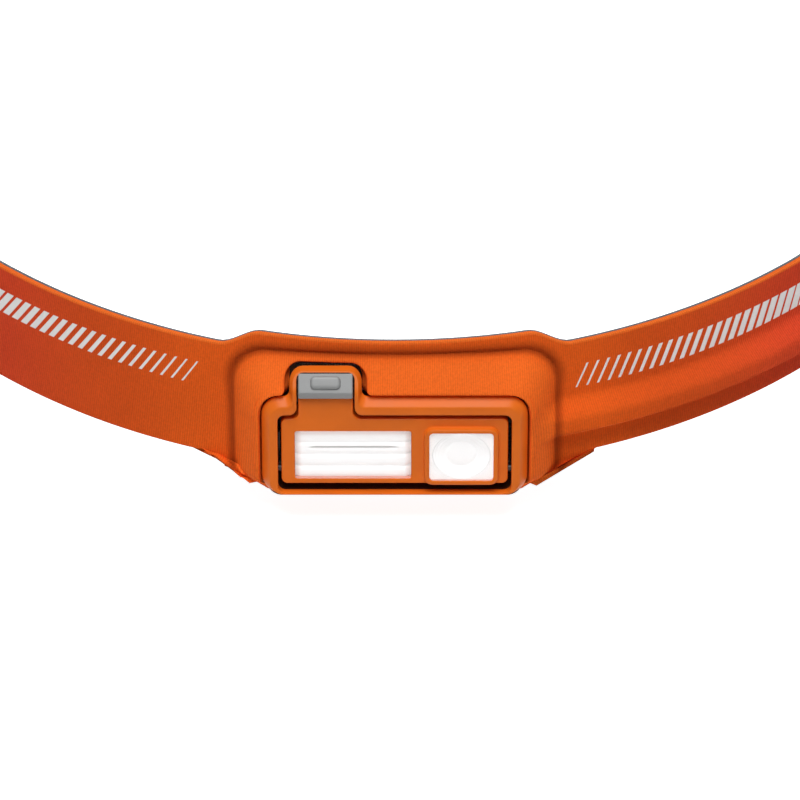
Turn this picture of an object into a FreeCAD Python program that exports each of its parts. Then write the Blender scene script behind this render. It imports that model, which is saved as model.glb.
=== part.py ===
"""Headlamp: a tilting lamp in a formed fabric headband, with a power pack at the back of the head.

Millimetres, +Z up, front of the lamp towards -Y, wearer inside the loop. The origin is under the
middle of the whole object, at the surface that it stands on.

Three frames are used. WORLD is the object's own. LAMP lies in the bezel's front face: x to the
right, y back into the lamp, z up along the leaning face, zero at the bezel's bottom edge. A band
station is a point of the loop's plan curve, with its tangent, its outward side and its lean.
"""
import FreeCAD, Part
import math
import os
import re
from FreeCAD import Placement, Rotation, Vector
import Sketcher

doc = FreeCAD.newDocument("headlamp")

SIZES = {
    # loop of the band, at mid height of its outer face
    "front_radius": 134.0, "front_turn": 37.0, "side_radius": 60.0, "side_run": 46.0,
    "back_radius": 29.0, "adjust_run": 40.0, "adjust_heading": 160.0, "pack_radius": 40.0,
    "lean_front": 21.0, "lean_side": 8.0,
    # band layers
    "band_height": 25.0, "fabric_skin": 1.2, "liner_skin": 0.7, "layer_gap": 0.1,
    "pack_lap": 22.0,
    # pod round the lamp
    "pod_width": 70.0, "pod_below": 3.5, "pod_top": 31.0, "face_stand": 4.8, "band_middle": 16.0,
    "foam_skin": 4.6, "lining_skin": 2.0, "rim_width": 56.2, "rim_height": 24.5, "rim_set": 0.5,
    "root_width": 65.0, "root_height": 30.8, "root_bottom": -3.4, "root_depth": 9.5,
    "pod_corner": 6.0, "rim_gap": 0.5,
    # bezel and tub
    "bezel_width": 53.0, "bezel_height": 21.3, "bezel_depth": 1.9, "bezel_corner": 4.5,
    "window_width": 46.6, "window_bottom": 0.7, "window_top": 17.8, "window_corner": 1.5,
    "tab_middle": -13.7, "tab_width": 14.4, "tab_top": 27.4, "tab_slope": 35.0,
    "slot_width": 11.8, "slot_top": 26.5, "tab_step": 0.9, "tab_reach": 6.2,
    "tub_width": 51.0, "tub_bottom": -0.6, "tub_top": 20.4, "tub_back": 10.5, "tub_wall": 1.2,
    # tilting panel
    "panel_width": 45.2, "panel_bottom": 2.5, "panel_top": 16.75, "panel_front": 0.8,
    "panel_depth": 6.2, "panel_skin": 1.4, "panel_wall": 1.0, "panel_corner": 1.2,
    "stem_width": 10.9, "stem_top": 21.0,
    "axis_depth": 3.0, "axis_rise": 5.0, "pin_radius": 0.8, "pin_play": 0.05,
    "flood_middle": -8.3, "flood_width": 23.2, "flood_height": 10.4, "flood_bottom": 3.6,
    "spot_middle": 13.3, "spot_width": 12.8, "spot_height": 10.4, "spot_bottom": 3.6,
    "flood_corner": 0.5, "spot_corner": 0.8, "spot_rim": 1.0, "spot_proud": 1.2,
    "fit_gap": 0.05, "flange": 0.8, "lid_skin": 0.9,
    # rear pack
    "pack_width": 62.0, "pack_height": 40.0, "pack_floor": 1.2, "pack_wall": 1.6,
    "pack_split": 9.0, "pack_depth": 20.0, "pack_corner": 5.0, "gasket": 0.6, "pad_skin": 3.0,
    "cell_width": 46.0, "cell_height": 28.0, "cell_depth": 8.0,
    "light_wide": 24.0, "light_tall": 7.0, "hinge_rise": 26.6,
    "port_height": 19.0, "port_depth": 14.0, "port_wide": 9.6, "port_thick": 3.8,
    "port_clear": 0.3, "post_radius": 2.8, "pipe_radius": 1.0, "pipe_length": 3.6,
    "pad_inset": 1.0,
    # power lead
    "lead_radius": 1.25, "lead_stand": 3.2, "lead_drop": 3.6, "lead_bend": 30.0, "lead_play": 0.2,
    # strap adjuster
    "strap_height": 20.0, "strap_skin": 1.3, "ring_bar": 1.6, "slider_run": 11.0, "seat_gap": 0.3,
    "slider_place": 20.0,
    # mode button
    "button_front": -0.55, "button_low": 21.55, "button_nose": 22.9, "button_run": 4.1,
    "button_skin": 1.9, "button_travel": 0.6, "button_play": 0.15, "button_width": 10.8,
    "nub_radius": 0.7, "nub_length": 0.6, "switch_wide": 3.0, "switch_thick": 0.65,
    # screws
    "screw_radius": 0.6, "screw_play": 0.06, "pack_screw_radius": 1.0,
}

sheet = doc.addObject("Spreadsheet::Sheet", "sizes")
for row, (alias, number) in enumerate(SIZES.items(), start=1):
    sheet.set("A%d" % row, alias.replace("_", " "))
    sheet.set("B%d" % row, str(number))
    sheet.setAlias("B%d" % row, alias)
doc.recompute()

parts = []


def bound(text):
    """Turn a formula of plain names into one that reads the sheet's cells."""
    return re.sub(r"\b(?!sin|cos|tan)[a-z]\w*", r"sizes.\g<0>", text)


def size(text):
    """Value of a formula of the sheet's names."""
    return float(sheet.evalExpression(bound(text)))


def keep(thing, label):
    """Name a finished sub-part and list it for writing."""
    thing.Label = label
    parts.append(thing)
    return thing


# ---------------------------------------------------------------- plan curve of the loop

def plan_pieces(offset):
    """Right half of the loop as arcs and runs (kind, start, end heading, radius or length)."""
    turn = size("front_turn")
    adjust = size("adjust_heading")
    return [
        ("arc", 0.0, turn, size("front_radius") + offset),
        ("arc", turn, 90.0, size("side_radius") + offset),
        ("run", 90.0, 90.0, size("side_run")),
        ("arc", 90.0, adjust, size("back_radius") + offset),
        ("run", adjust, adjust, size("adjust_run")),
        ("arc", adjust, 180.0, size("pack_radius") + offset),
    ]


def walk(offset, pieces):
    """Corner points of the pieces: (x, y, heading), from the middle of the front."""
    x, y = 0.0, -offset
    marks = [(x, y, 0.0)]
    for kind, start, end, amount in pieces:
        first, last = math.radians(start), math.radians(end)
        if kind == "arc":
            x += amount * (math.sin(last) - math.sin(first))
            y += amount * (math.cos(first) - math.cos(last))
        else:
            x += amount * math.cos(first)
            y += amount * math.sin(first)
        marks.append((x, y, end))
    return marks


MARKS = walk(0.0, plan_pieces(0.0))
REAR_Y = MARKS[-1][1]
LEAN = math.radians(size("lean_front"))
POD_THICK = size("fabric_skin + foam_skin + lining_skin + 2 * layer_gap")
POD_SAG = size("front_radius") - math.sqrt(size("front_radius * front_radius")
                                           - size("pod_width * pod_width") / 4)
MIDDLE_Z = (size("band_middle + pod_below") * math.cos(LEAN) + POD_THICK * math.sin(LEAN)
            + POD_SAG * math.tan(LEAN))

LAMP = Placement(
    Vector(0,
           -size("face_stand") * math.cos(LEAN) - size("band_middle") * math.sin(LEAN),
           MIDDLE_Z + size("face_stand") * math.sin(LEAN) - size("band_middle") * math.cos(LEAN)),
    Rotation(Vector(1, 0, 0), -size("lean_front")))
SLOPE = LAMP.multiply(Placement(Vector(size("tab_middle"), size("button_front"),
                                       size("button_nose")),
                                Rotation(Vector(1, 0, 0), -size("tab_slope"))))
WORLD = Placement()


def lean_at(heading):
    """Lean of the band at a heading: most at the front, none at the pack."""
    wave = math.sin(math.radians(heading))
    if heading <= 90.0:
        return math.radians(size("lean_front") + size("lean_side - lean_front") * wave * wave)
    return math.radians(size("lean_side") * wave)


def station(piece, share, side=1):
    """Frame of the band at a share of one plan piece: tangent, outward and upward directions."""
    kind, start, end, amount = plan_pieces(0.0)[piece]
    x, y, _ = MARKS[piece]
    heading = start + (end - start) * share
    first, last = math.radians(start), math.radians(heading)
    if kind == "arc":
        x += amount * (math.sin(last) - math.sin(first))
        y += amount * (math.cos(first) - math.cos(last))
    else:
        x += amount * share * math.cos(first)
        y += amount * share * math.sin(first)
    lean = lean_at(heading)
    along = Vector(side * math.cos(last), math.sin(last), 0)
    level = Vector(side * math.sin(last), -math.cos(last), 0)
    out = level * math.cos(lean) + Vector(0, 0, math.sin(lean))
    up = Vector(0, 0, math.cos(lean)) - level * math.sin(lean)
    return Vector(side * x, y, MIDDLE_Z), along, out, up


def pack_station(x, side=1):
    """Frame of the straight stretch behind the pack, at a distance from its middle."""
    return (Vector(side * x, REAR_Y, MIDDLE_Z), Vector(-side, 0, 0), Vector(0, 1, 0), Vector(0, 0, 1))


def strip(name, stations, low, high, inner, outer):
    """Solid carried through the stations, with a four-cornered section."""
    wires = []
    for place, _, out, up in stations:
        corners = [place + up * v + out * w for v, w in
                   ((low, inner), (low, outer), (high, outer), (high, inner))]
        wires.append(Part.makePolygon(corners + corners[:1]))
    thing = doc.addObject("Part::Feature", name)
    thing.Shape = Part.makeLoft(wires, True, True)
    return thing


# ---------------------------------------------------------------- small builders

def block(name, frame, low, extent):
    """Box from its low corner and its extent, both as formulas."""
    box = doc.addObject("Part::Box", name)
    for side, text in zip(("Length", "Width", "Height"), extent):
        box.setExpression(side, bound(text))
    box.Placement = frame.multiply(Placement(Vector(*[size(text) for text in low]), Rotation()))
    return box


TURNS = {"x": Rotation(Vector(0, 1, 0), 90), "y": Rotation(Vector(1, 0, 0), -90), "z": Rotation()}


def rod(name, frame, start, radius, length, way):
    """Cylinder from the centre of its first face, along one axis of the frame."""
    thing = doc.addObject("Part::Cylinder", name)
    thing.setExpression("Radius", bound(radius))
    thing.setExpression("Height", bound(length))
    thing.Placement = frame.multiply(Placement(Vector(*[size(text) for text in start]), TURNS[way]))
    return thing


def join(name, *things):
    """One solid of several that touch or overlap."""
    thing = doc.addObject("Part::MultiFuse", name)
    thing.Shapes = list(things)
    return thing


def group(name, *things):
    """Several separate solids in one sub-part."""
    thing = doc.addObject("Part::Compound", name)
    thing.Links = list(things)
    return thing


def cut(name, base, *tools):
    """The base with every tool taken away."""
    thing = doc.addObject("Part::Cut", name)
    thing.Base = base
    thing.Tool = tools[0] if len(tools) == 1 else join(name + "_tools", *tools)
    return thing


def common(name, first, second):
    """What two solids share."""
    thing = doc.addObject("Part::Common", name)
    thing.Base = first
    thing.Tool = second
    return thing


def rounded_sketch(body, name, box, corner, depth):
    """Rounded rectangle on the body's XZ plane, at a depth behind it, tied to the sheet.

    box is the low x, low z, width and height, all as formulas.
    """
    plane = [item for item in body.Origin.OriginFeatures if item.Role == "XZ_Plane"][0]
    sketch = body.newObject("Sketcher::SketchObject", name)
    sketch.AttachmentSupport = [(plane, "")]
    sketch.MapMode = "FlatFace"
    sketch.AttachmentOffset = Placement(Vector(0, 0, -size(depth)), Rotation())
    left, low, wide, tall = [size(text) for text in box]
    right, high, bend = left + wide, low + tall, size(corner)
    corners = [((left + bend, low), (right - bend, low)), ((right, low + bend), (right, high - bend)),
               ((right - bend, high), (left + bend, high)), ((left, high - bend), (left, low + bend))]
    for start, end in corners:
        sketch.addGeometry(Part.LineSegment(Vector(*start, 0), Vector(*end, 0)))
    centres = [(right - bend, low + bend), (right - bend, high - bend),
               (left + bend, high - bend), (left + bend, low + bend)]
    for number, centre in enumerate(centres):
        circle = Part.Circle(Vector(*centre, 0), Vector(0, 0, 1), bend)
        start = (number - 1) * math.pi / 2
        sketch.addGeometry(Part.ArcOfCircle(circle, start, start + math.pi / 2))
    for number in range(4):
        sketch.addConstraint(Sketcher.Constraint("Tangent", number, 2, number + 4, 1))
        sketch.addConstraint(Sketcher.Constraint("Tangent", number + 4, 2, (number + 1) % 4, 1))
        level = "Horizontal" if number % 2 == 0 else "Vertical"
        sketch.addConstraint(Sketcher.Constraint(level, number))
    for number in range(3):
        sketch.addConstraint(Sketcher.Constraint("Equal", number + 4, number + 5))
    measures = [("corner", ("Radius", 4, bend), corner),
                ("wide", ("DistanceX", 3, 1, 1, 1, wide), box[2]),
                ("tall", ("DistanceY", 0, 1, 2, 1, tall), box[3]),
                ("left", ("DistanceX", -1, 1, 3, 1, left), box[0]),
                ("low", ("DistanceY", -1, 1, 0, 1, low), box[1])]
    for word, constraint, text in measures:
        index = sketch.addConstraint(Sketcher.Constraint(*constraint))
        sketch.renameConstraint(index, word)
        sketch.setExpression("Constraints." + word, bound(text))
    sketch.Visibility = False
    return sketch


def plate_body(name, frame, steps):
    """Body of rounded pads and pockets along y.

    Each step is the kind, the box, the corner, the front depth and the length.
    """
    body = doc.addObject("PartDesign::Body", name)
    for number, (kind, box, corner, depth, length) in enumerate(steps):
        sketch = rounded_sketch(body, "%s_sketch_%d" % (name, number), box, corner, depth)
        feature = body.newObject("PartDesign::" + kind, "%s_%s_%d" % (name, kind.lower(), number))
        feature.Profile = sketch
        feature.setExpression("Length", bound(length))
        feature.Reversed = kind == "Pad"
        body.Tip = feature
        doc.recompute()
    body.Placement = frame
    return body


def profile_pad(name, frame, outline, start, width):
    """Body with a straight-sided outline in the YZ plane, padded along x from start."""
    body = doc.addObject("PartDesign::Body", name)
    plane = [item for item in body.Origin.OriginFeatures if item.Role == "YZ_Plane"][0]
    sketch = body.newObject("Sketcher::SketchObject", name + "_outline")
    sketch.AttachmentSupport = [(plane, "")]
    sketch.MapMode = "FlatFace"
    sketch.AttachmentOffset = Placement(Vector(0, 0, size(start)), Rotation())
    count = len(outline)
    values = [(size(y), size(z)) for y, z in outline]
    for number in range(count):
        first, second = values[number], values[(number + 1) % count]
        sketch.addGeometry(Part.LineSegment(Vector(*first, 0), Vector(*second, 0)))
    for number in range(count):
        sketch.addConstraint(Sketcher.Constraint("Coincident", number, 2, (number + 1) % count, 1))
    for number, (y, z) in enumerate(outline):
        for kind, word, text, value in (("DistanceX", "y", y, values[number][0]),
                                        ("DistanceY", "z", z, values[number][1])):
            index = sketch.addConstraint(Sketcher.Constraint(kind, -1, 1, number, 1, value))
            sketch.renameConstraint(index, "%s%d" % (word, number))
            sketch.setExpression("Constraints.%s%d" % (word, number), bound(text))
    pad = body.newObject("PartDesign::Pad", name + "_pad")
    pad.Profile = sketch
    pad.setExpression("Length", bound(width))
    body.Tip = pad
    doc.recompute()
    body.Placement = frame
    return body


# ---------------------------------------------------------------- pod round the lamp

def cone(name, stand):
    """Solid cone inside the leaning front face of the band, a distance outside that face."""
    low, high = -10.0, 60.0
    middle = size("front_radius") + stand / math.cos(LEAN)
    thing = doc.addObject("Part::Cone", name)
    thing.Radius1 = middle - (low - MIDDLE_Z) * math.tan(LEAN)
    thing.Radius2 = middle - (high - MIDDLE_Z) * math.tan(LEAN)
    thing.Height = high - low
    thing.Placement = Placement(Vector(0, size("front_radius"), low), Rotation())
    return thing


def pod_reach(name, grow):
    """Block of the lamp frame that holds the pod, wider by grow at each side."""
    return block(name, LAMP, ("-pod_width / 2 - %g" % grow, "-pod_below", "-pod_below"),
                 ("pod_width + 2 * %g" % grow, "10 * pod_below", "pod_top + pod_below"))


def pod_layer(name, outer, inner):
    """Layer of the pod between two distances from the band's front face."""
    layer = cut(name + "_layer", cone(name + "_outer", outer), cone(name + "_inner", inner))
    return common(name + "_piece", layer, pod_reach(name + "_reach", 0.0))


def rounded_wire(width, height, low, corner, depth):
    """Rounded rectangle of the lamp frame, centred on x, at a depth."""
    half, high = width / 2, low + height
    edges = []
    turns = [(half - corner, low + corner, -90), (half - corner, high - corner, 0),
             (corner - half, high - corner, 90), (corner - half, low + corner, 180)]
    points = []
    for x, z, start in turns:
        row = []
        for angle in (start, start + 45, start + 90):
            turn = math.radians(angle)
            row.append(Vector(x + corner * math.cos(turn), depth, z + corner * math.sin(turn)))
        points.append(row)
    for number, row in enumerate(points):
        edges.append(Part.Arc(*row).toShape())
        edges.append(Part.LineSegment(row[2], points[(number + 1) % 4][0]).toShape())
    return Part.Wire(edges)


def frustum(name, grow, start, end):
    """Sloped shell of the pod, from its rim to its root, made smaller by grow all round."""
    rim = rounded_wire(size("rim_width") - 2 * grow, size("rim_height") - 2 * grow,
                       size("(bezel_height - rim_height) / 2") + grow, size("pod_corner") - grow, start)
    root = rounded_wire(size("root_width") - 2 * grow, size("root_height") - 2 * grow,
                        size("root_bottom") + grow, size("pod_corner") - grow, end)
    thing = doc.addObject("Part::Feature", name)
    thing.Shape = Part.makeLoft([rim, root], True, True)
    thing.Placement = LAMP
    return thing


def lead_point():
    """Centre of the lead where it enters the tub, in the lamp frame: depth and height."""
    reach = size("front_radius + lead_stand - lead_bend")
    start = math.asin(size("tub_width / 2 + 2") / reach)
    level = size("front_radius - lead_bend") - reach * math.cos(start)
    drop = -size("lead_drop")
    depth = size("face_stand") + level * math.cos(LEAN) - drop * math.sin(LEAN)
    height = size("band_middle") + level * math.sin(LEAN) + drop * math.cos(LEAN)
    return start, level, depth, height


LEAD_TURN, LEAD_LEVEL, LEAD_DEPTH, LEAD_HEIGHT = lead_point()


def lead_path(first_x, last_x):
    """Line, arcs and runs of the power lead, from the tub to the pack, as one wire."""
    level = MIDDLE_Z - size("lead_drop")
    pieces = plan_pieces(size("lead_stand"))
    pieces[0] = ("arc", math.degrees(LEAD_TURN), pieces[0][2], pieces[0][3])
    bend = ("arc", 0.0, math.degrees(LEAD_TURN), size("lead_bend"))
    x, y = size("tub_width / 2 + 2"), LEAD_LEVEL
    edges = [Part.LineSegment(Vector(first_x, y, level), Vector(x, y, level)).toShape()]
    for kind, start, end, amount in [bend] + pieces:
        points = []
        for heading in (start, (start + end) / 2, end):
            first, last = math.radians(start), math.radians(heading)
            if kind == "arc":
                points.append(Vector(x + amount * (math.sin(last) - math.sin(first)),
                                     y + amount * (math.cos(first) - math.cos(last)), level))
        if kind == "arc":
            edges.append(Part.Arc(*points).toShape())
            print("lead radius %.1f" % amount)
        else:
            points = [Vector(x, y, level), Vector(x + amount * math.cos(first),
                                                  y + amount * math.sin(first), level)]
            edges.append(Part.LineSegment(*points).toShape())
        x, y = points[-1].x, points[-1].y
    edges.append(Part.LineSegment(Vector(x, y, level), Vector(last_x, y, level)).toShape())
    return Part.Wire(edges)


def lead_tube(name, radius):
    """Round tube along the lead's path."""
    path = lead_path(size("tub_width / 2 - tub_wall"), size("pack_width / 2 - pack_wall"))
    start = path.Vertexes[0].Point
    ring = Part.Wire([Part.Circle(start, Vector(1, 0, 0), radius).toShape()])
    thing = doc.addObject("Part::Feature", name)
    thing.Shape = path.makePipeShell([ring], True, True)
    print("%s volume %.1f, section times length %.1f, length %.1f" % (
        name, thing.Shape.Volume, math.pi * radius * radius * path.Length, path.Length))
    return thing


def pod_cover():
    """Formed fabric: sloped shell round the bezel and its flange along the band."""
    shell = cut("cover_front", frustum("cover_form", 0.0, size("rim_set"), size("root_depth")),
                cone("cover_back", -size("fabric_skin")))
    whole = join("cover_whole", shell, pod_layer("cover_flange", 0.0, -size("fabric_skin")))
    hollow = frustum("cover_hollow", size("(rim_width - bezel_width) / 2 - rim_gap"),
                     size("rim_set") - 0.2, size("root_depth") + 0.2)
    tab = block("cover_tab", LAMP, ("tab_middle - tab_width / 2 - rim_gap", "-1", "tab_top / 2"),
                ("tab_width + 2 * rim_gap", "15", "tab_top / 2 + rim_gap"))
    tunnel = lead_tube("cover_tunnel", size("lead_radius + lead_play"))
    keep(cut("cover", whole, hollow, tab, tunnel), "pod_cover")


def pod_inside():
    """Foam core with a window for the tub, and the lining that lies on the forehead."""
    start = -size("fabric_skin + layer_gap")
    end = start - size("foam_skin")
    window = block("foam_window", LAMP, ("-tub_width / 2 - rim_gap", "-1", "tub_bottom - rim_gap"),
                   ("tub_width + 2 * rim_gap", "25", "tub_top - tub_bottom + 2 * rim_gap"))
    tab = block("foam_tab", LAMP, ("tab_middle - tab_width / 2 - rim_gap", "-1", "tab_top / 2"),
                ("tab_width + 2 * rim_gap", "25", "tab_top / 2 + rim_gap"))
    keep(cut("foam", pod_layer("foam_core", start, end), window, tab), "pod_foam")
    start = end - size("layer_gap")
    lining = pod_layer("lining", start, start - size("lining_skin"))
    keep(lining, "pod_lining")


# ---------------------------------------------------------------- fixed lamp pieces

SCREW_PLACES = [("%s(window_width / 2 + 1.1)" % sign, rise) for sign in ("", "-")
                for rise in ("tub_bottom + 2.6", "tub_top - 2.6")]


def bezel():
    """Frame round the lamp panel, with the tab that guards the mode button."""
    plate = plate_body("bezel_plate", LAMP, [
        ("Pad", ("-bezel_width / 2", "0", "bezel_width", "bezel_height"), "bezel_corner", "0",
         "bezel_depth")])
    base = plate.Tip
    edge = ["Edge%d" % (n + 1) for n, e in enumerate(base.Shape.Edges) if e.CenterOfMass.y < 0.01]
    rim = plate.newObject("PartDesign::Chamfer", "bezel_rim")
    rim.Base = (base, edge)
    rim.Size = size("bezel_depth") * 0.5
    plate.Tip = rim
    doc.recompute()
    tab = profile_pad("bezel_tab", LAMP, [
        ("bezel_depth / 2", "window_top"), ("tab_step", "bezel_height - tab_step"),
        ("tab_step", "bezel_height"),
        ("tab_step + (tab_top - bezel_height) * tan(tab_slope)", "tab_top"),
        ("tab_reach", "tab_top"), ("tab_reach", "tub_top + fit_gap"),
        ("bezel_depth", "tub_top + fit_gap"), ("bezel_depth", "window_top")],
        "tab_middle - tab_width / 2", "tab_width")
    window = block("bezel_window", LAMP, ("-window_width / 2", "-2", "window_bottom"),
                   ("window_width", "4 + bezel_depth", "window_top - window_bottom"))
    slot = block("bezel_slot", LAMP, ("tab_middle - slot_width / 2", "-2", "window_top - 1"),
                 ("slot_width", "12", "slot_top - window_top + 1"))
    holes = [rod("bezel_hole_%d" % number, LAMP, (x, "bezel_depth / 2", z),
                 "screw_radius + screw_play", "bezel_depth", "y")
             for number, (x, z) in enumerate(SCREW_PLACES)]
    keep(cut("bezel", join("bezel_solid", plate, tab), window, slot, *holes), "bezel_frame")


def tub():
    """Housing behind the bezel, with bearings for the pins and a hole for the lead."""
    tray = plate_body("tub_tray", LAMP, [
        ("Pad", ("-tub_width / 2", "tub_bottom", "tub_width", "tub_top - tub_bottom"), "3",
         "bezel_depth + 0.05", "tub_back - bezel_depth - 0.05"),
        ("Pad", ("tab_middle - tab_width / 2", "tub_top - 4", "tab_width", "tab_top - tub_top + 4"),
         "1", "6.25", "tub_back - 6.25"),
        ("Pocket", ("-window_width / 2", "window_bottom", "window_width",
                    "window_top - window_bottom"), "window_corner", "bezel_depth",
         "tub_back - tub_wall - bezel_depth"),
        ("Pocket", ("tab_middle - slot_width / 2", "window_top - 3", "slot_width",
                    "slot_top - window_top + 3"), "0.5", "bezel_depth",
         "tub_back - tub_wall - bezel_depth")])
    pins = rod("tub_pin_hole", LAMP, ("-tub_width / 2 - 1", "axis_depth", "axis_rise"),
               "pin_radius + pin_play", "tub_width + 2", "x")
    holes = [rod("tub_hole_%d" % number, LAMP, (x, "0", z), "screw_radius + screw_play",
                 "tub_back + 1", "y") for number, (x, z) in enumerate(SCREW_PLACES)]
    entry = rod("tub_entry", LAMP, ("tub_width / 4", str(LEAD_DEPTH), str(LEAD_HEIGHT)),
                "lead_radius + 0.55", "tub_width / 2", "x")
    keep(cut("tub", tray, pins, entry, *holes), "housing_tub")
    for side, sign in (("left", "-"), ("right", "")):
        start = "-tub_width / 2 + 0.1" if sign else "panel_width / 2 - panel_wall - 0.5"
        pin = rod("pin_" + side, LAMP, (start, "axis_depth", "axis_rise"), "pin_radius",
                  "(tub_width - panel_width) / 2 + panel_wall + 0.4", "x")
        if side == "right":
            bore = rod("pin_bore", LAMP, ("panel_width / 2 - 3", "axis_depth", "axis_rise"),
                       "pin_radius * 0.5", "8", "x")
            pin = cut("pin_tube", pin, bore)
        keep(pin, "hinge_pin_" + side)
    shanks = []
    for number, (x, z) in enumerate(SCREW_PLACES):
        shank = rod("screw_shank_%d" % number, LAMP, (x, "bezel_depth / 2 + 0.1", z),
                    "screw_radius", "tub_back - bezel_depth / 2 - 0.1", "y")
        head = rod("screw_head_%d" % number, LAMP, (x, "tub_back", z), "screw_radius * 1.7",
                   "0.5", "y")
        shanks.append(join("screw_%d" % number, shank, head))
    keep(group("screws", *shanks), "bezel_screws")
    keep(block("leaf", LAMP, ("-window_width / 2 + 0.05", "5", "8"), ("0.3", "3", "4")),
         "detent_leaf")
    keep(block("flex", LAMP, ("11", "tub_back - tub_wall - 0.25", "3"), ("7", "0.2", "9")),
         "flex_cable")
    sleeve = rod("grommet_sleeve", LAMP, ("window_width / 2 + 0.05", str(LEAD_DEPTH),
                                          str(LEAD_HEIGHT)),
                 "lead_radius + 0.5", "(tub_width - window_width) / 2", "x")
    collar = rod("grommet_collar", LAMP, ("tub_width / 2 + 0.02", str(LEAD_DEPTH),
                                          str(LEAD_HEIGHT)), "lead_radius + 1", "0.35", "x")
    bore = rod("grommet_bore", LAMP, ("tub_width / 4", str(LEAD_DEPTH), str(LEAD_HEIGHT)),
               "lead_radius + fit_gap", "tub_width / 2", "x")
    keep(cut("grommet", join("grommet_whole", sleeve, collar), bore), "lead_grommet")


# ---------------------------------------------------------------- tilting panel

def lens_box(name, middle, width, height, bottom, gap, depth, length):
    """Block that fills a window of the panel, less a gap all round."""
    return block(name, LAMP, ("%s - %s / 2 + %s" % (middle, width, gap), depth,
                              "%s + %s" % (bottom, gap)),
                 ("%s - 2 * (%s)" % (width, gap), length, "%s - 2 * (%s)" % (height, gap)))


def lens_body(name, middle, width, height, bottom, corner, depth, length):
    """Rounded plate that fills a window of the panel, less the fitting gap."""
    return plate_body(name, LAMP, [
        ("Pad", ("%s - %s / 2 + fit_gap" % (middle, width), bottom + " + fit_gap",
                 width + " - 2 * fit_gap", height + " - 2 * fit_gap"), corner, depth, length)])


def lens_flange(name, middle, width, height, bottom, length):
    """Wider plate behind a window, that keeps its lens from falling out of the front."""
    return block(name, LAMP, ("%s - %s / 2 - flange / 2" % (middle, width),
                              "panel_front + panel_skin + fit_gap", bottom + " - fit_gap"),
                 (width + " + flange", length, height + " + flange / 2"))


def panel():
    """Hollow shell of the tilting lamp, with the stem that carries the button."""
    shell = plate_body("panel_tray", LAMP, [
        ("Pad", ("-panel_width / 2", "panel_bottom", "panel_width", "panel_top - panel_bottom"),
         "panel_corner", "panel_front", "panel_depth"),
        ("Pad", ("tab_middle - stem_width / 2", "panel_top - 2", "stem_width",
                 "stem_top - panel_top + 2"), "0.4", "panel_front", "4.7"),
        ("Pad", ("spot_middle - spot_width / 2 - spot_rim", "panel_bottom",
                 "spot_width + 2 * spot_rim", "spot_height + 2 * spot_rim + 0.3"), "1",
         "panel_front - spot_proud", "spot_proud + 0.5"),
        ("Pocket", ("-panel_width / 2 + panel_wall", "panel_bottom + panel_wall",
                    "panel_width - 2 * panel_wall", "panel_top - panel_bottom - 2 * panel_wall"),
         "0.8", "panel_front + panel_skin", "panel_depth - panel_skin"),
        ("Pocket", ("flood_middle - flood_width / 2", "flood_bottom", "flood_width",
                    "flood_height"), "flood_corner", "-2", "5"),
        ("Pocket", ("spot_middle - spot_width / 2", "spot_bottom", "spot_width", "spot_height"),
         "spot_corner", "-2", "5")])
    head = profile_pad("stem_head", LAMP, [
        ("button_front + 2.17", "stem_top - 0.4"),
        ("button_front + 2.17", "button_nose - 1.52"),
        ("button_front + 2.17 + button_run * sin(tab_slope)",
         "button_nose - 1.52 + button_run * cos(tab_slope)"),
        ("5.5", "button_nose - 1.52 + button_run * cos(tab_slope)"), ("5.5", "stem_top - 0.4")],
        "tab_middle - stem_width / 2", "stem_width")
    nook = block("switch_nook", SLOPE, ("-switch_wide / 2 - 0.05",
                                        "button_skin + button_travel + button_play - 0.2",
                                        "button_run / 2 - switch_wide / 2 - 0.05"),
                 ("switch_wide + 0.1", "1.55", "switch_wide + 0.1"))
    pins = rod("panel_pin_hole", LAMP, ("-tub_width / 2", "axis_depth", "axis_rise"),
               "pin_radius + pin_play", "tub_width", "x")
    keep(cut("panel", join("panel_solid", shell, head), nook, pins), "panel_shell")
    lid = plate_body("panel_lid", LAMP, [
        ("Pad", ("-panel_width / 2 + panel_wall + fit_gap", "panel_bottom + panel_wall + fit_gap",
                 "panel_width - 2 * panel_wall - 2 * fit_gap",
                 "panel_top - panel_bottom - 2 * panel_wall - 2 * fit_gap"), "0.8",
         "panel_front + panel_depth - lid_skin", "lid_skin")])
    keep(lid, "panel_back")


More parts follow.
